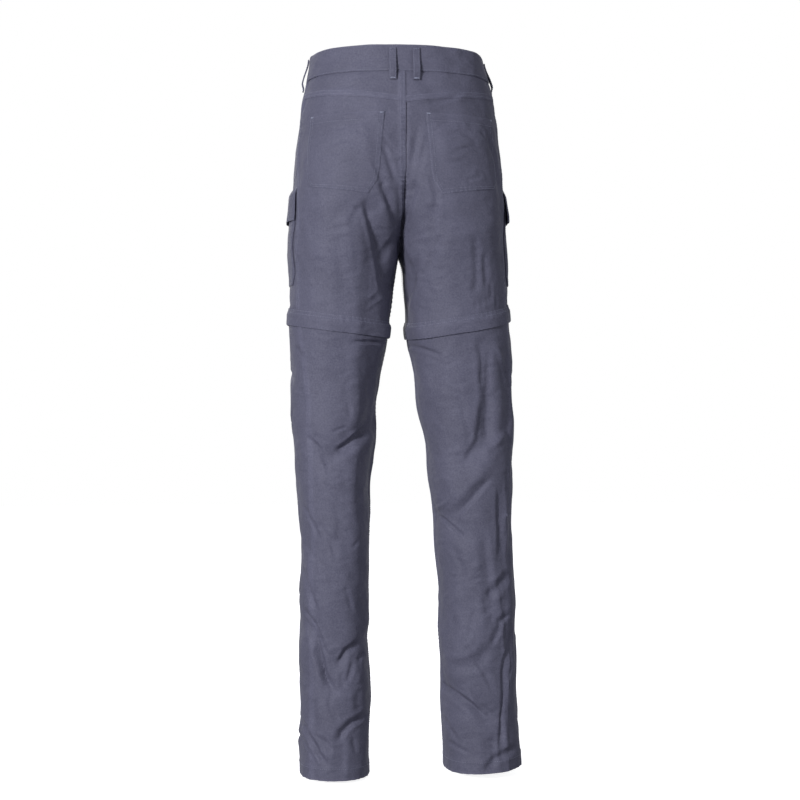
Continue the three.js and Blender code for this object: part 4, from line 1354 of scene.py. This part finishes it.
def addButton():
    deselectAll()
    bpy.ops.mesh.primitive_cylinder_add(vertices=56, radius=button["radius"] * mm, depth=button["thick"] * mm,
                                        location=(0, 0, button["thick"] / 2 * mm))
    piece = bpy.context.object
    piece.name = piece.data.name = "waist_stud"
    bpy.ops.object.transform_apply(location=True)
    bpy.ops.object.mode_set(mode="EDIT")
    bpy.ops.mesh.select_mode(type="FACE")
    bpy.ops.mesh.select_all(action="DESELECT")
    bpy.ops.object.mode_set(mode="OBJECT")
    for face in piece.data.polygons:
        face.select = face.normal.z > 0.9
    bpy.ops.object.mode_set(mode="EDIT")
    bpy.ops.mesh.inset(thickness=button["rim"] * mm)
    bpy.ops.mesh.inset(thickness=0.8 * mm, depth=-button["dish"] * mm)
    bpy.ops.object.mode_set(mode="OBJECT")
    for x in (-1, 1):
        for y in (-1, 1):
            deselectAll()
            bpy.ops.mesh.primitive_cylinder_add(
                vertices=16, radius=button["hole"] * mm, depth=10 * mm,
                location=(x * button["holeAt"] * mm, y * button["holeAt"] * mm, 0))
            drill = bpy.context.object
            deselectAll()
            piece.select_set(True)
            bpy.context.view_layer.objects.active = piece
            cut = piece.modifiers.new("hole", "BOOLEAN")
            cut.operation, cut.object, cut.solver = "DIFFERENCE", drill, "EXACT"
            bpy.ops.object.modifier_apply(modifier=cut.name)
            bpy.data.objects.remove(drill)
    edge = piece.modifiers.new("edge", "BEVEL")
    edge.width, edge.segments, edge.limit_method, edge.angle_limit = 0.3 * mm, 2, "ANGLE", math.radians(40)
    bpy.ops.object.modifier_apply(modifier=edge.name)
    bpy.ops.object.shade_smooth_by_angle(angle=math.radians(35))
    z = -band["height"] / 2
    distance = button["fromCentre"] - halfLength("left", -1, z)
    around = float(aroundAt("left", distance, np.array([z]))[0])
    seat(piece, "left", around, z, button["lift"])
    finish(piece, buttonPlastic)
    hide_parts("waist_button")
    sewButton(around, z)


# Crossed threads through the holes, and the buttonhole's stitched edge behind
def sewButton(around, z):
    point, out = clothPoint("left", np.array([around]), np.array([z]), np.array([button["lift"]]))
    across = np.cross([0, 0, 1], out[0])
    across /= np.linalg.norm(across)
    up = np.cross(out[0], across)
    crossed = []
    for turn in (1, -1):
        along = across + turn * up
        crossed.append((point + out * (button["thick"] - button["dish"] + 0.25),
                        along[None] / np.linalg.norm(along), out, np.array([[5.6, 1.1, 0.9]])))
    count = button["slitStitches"]
    slit = np.linspace(-button["slitHalf"], button["slitHalf"], count)
    for row in (-1.1, 1.1):
        centres = point + slit[:, None] * across + row * up - out * (button["lift"] - band["proud"] - 0.15)
        crossed.append((centres, np.tile(up, (count, 1)), np.tile(out[0], (count, 1)),
                        np.tile([1.8, 0.6, 0.4], (count, 1))))
    copyUnits("sewing_button", crossed, thread)


addButton()
print("sewing, zips and button made")


# Camera at the photograph's angle: level, behind the wearer and a little to the left
view = {"distance": 2350, "turn": 5.5, "height": -510, "aside": 3.75, "lens": 70.5}


def addCamera():
    turn = math.radians(view["turn"])
    away, right = np.array([math.sin(turn), math.cos(turn)]), np.array([-math.cos(turn), math.sin(turn)])
    x, y = (away * view["distance"] + right * view["aside"]) * mm
    bpy.ops.object.camera_add(location=(x, y, view["height"] * mm), rotation=(math.pi / 2, 0, math.pi - turn))
    camera = bpy.context.object
    camera.data.lens, camera.data.sensor_width = view["lens"], 36
    camera.data.clip_start, camera.data.clip_end = 0.05, 60
    bpy.context.scene.camera = camera


addCamera()

# Pale paper floor just under the hems
room = {"drop": 4, "half": 6000, "colour": "d8d8da", "glow": 0.88}


def addRoom():
    deselectAll()
    floorZ = cadBox[0].z - room["drop"] * mm
    bpy.ops.mesh.primitive_plane_add(size=2 * room["half"] * mm, location=(0, 0, floorZ))
    floor = bpy.context.object
    floor.name = "studioFloor"
    bpy.ops.object.transform_apply(location=True)
    paper = newMaterial("paperBackdrop", {
        "Roughness": 0.95, "Specular IOR Level": 0.1, "Base Color": fromHex(room["colour"]),
        "Emission Color": fromHex("ffffff"), "Emission Strength": room["glow"]})[0]
    floor.data.materials.append(paper)
    floor.visible_diffuse = floor.visible_glossy = False  # its glow stays off the cloth


addRoom()

# Soft studio light: a broad key to the camera's left and a pale surround, brightest behind the garment
lights = {
    "key": {"at": (2000, 2550, 240), "size": 600, "watts": 119},
    "fill": {"at": (-2600, 2000, 100), "size": 2200, "watts": 24},
    "front": {"at": (700, -2600, 900), "size": 2200, "watts": 26},
    "top": {"at": (300, 500, 2200), "size": 1600, "watts": 8},
}
lightAim = -480
surround = {"dim": "7a7b80", "bright": "ffffff", "start": 0.5, "full": 0.93}


def addLights():
    for name, light in lights.items():
        spot = np.array(light["at"]) * mm
        bpy.ops.object.light_add(type="AREA", location=tuple(spot))
        lamp = bpy.context.object
        lamp.name = name + "Light"
        lamp.data.energy, lamp.data.size = light["watts"], light["size"] * mm
        aim = np.array([0, 0, lightAim * mm]) - spot
        flatAway = math.hypot(aim[0], aim[1])
        lamp.rotation_euler = (math.atan2(flatAway, -aim[2]), 0, math.atan2(aim[1], aim[0]) - math.pi / 2)
    world = bpy.data.worlds.new("studioSurround")
    world.use_nodes = True
    tree = world.node_tree
    toward = addNode(tree, "ShaderNodeTexCoord").outputs["Generated"]
    behind = addNode(tree, "ShaderNodeVectorMath", {1: (0, -1, 0)}, {0: toward}, operation="DOT_PRODUCT")
    share = addNode(tree, "ShaderNodeMapRange", {"From Min": surround["start"], "From Max": surround["full"]},
                    {"Value": behind.outputs["Value"]}, interpolation_type="SMOOTHSTEP")
    ramp = twoTone(tree, share.outputs["Result"], surround["dim"], surround["bright"])
    tree.links.new(ramp.outputs["Color"], tree.nodes["Background"].inputs["Color"])
    # the camera sees plain white in every direction, and the cloth is lit by the dimmer surround
    sky, lamps = tree.nodes["Background"], addNode(tree, "ShaderNodeLightPath")
    white = addNode(tree, "ShaderNodeBackground", {"Color": fromHex(surround["bright"])})
    seen = addNode(tree, "ShaderNodeMixShader", None, {0: lamps.outputs["Is Camera Ray"]})
    tree.links.new(sky.outputs["Background"], seen.inputs[1])
    tree.links.new(white.outputs["Background"], seen.inputs[2])
    tree.links.new(seen.outputs["Shader"], tree.nodes["World Output"].inputs["Surface"])
    bpy.context.scene.world = world
    bpy.context.scene.view_settings.view_transform = "Standard"


addLights()
print("camera, floor and lights set")
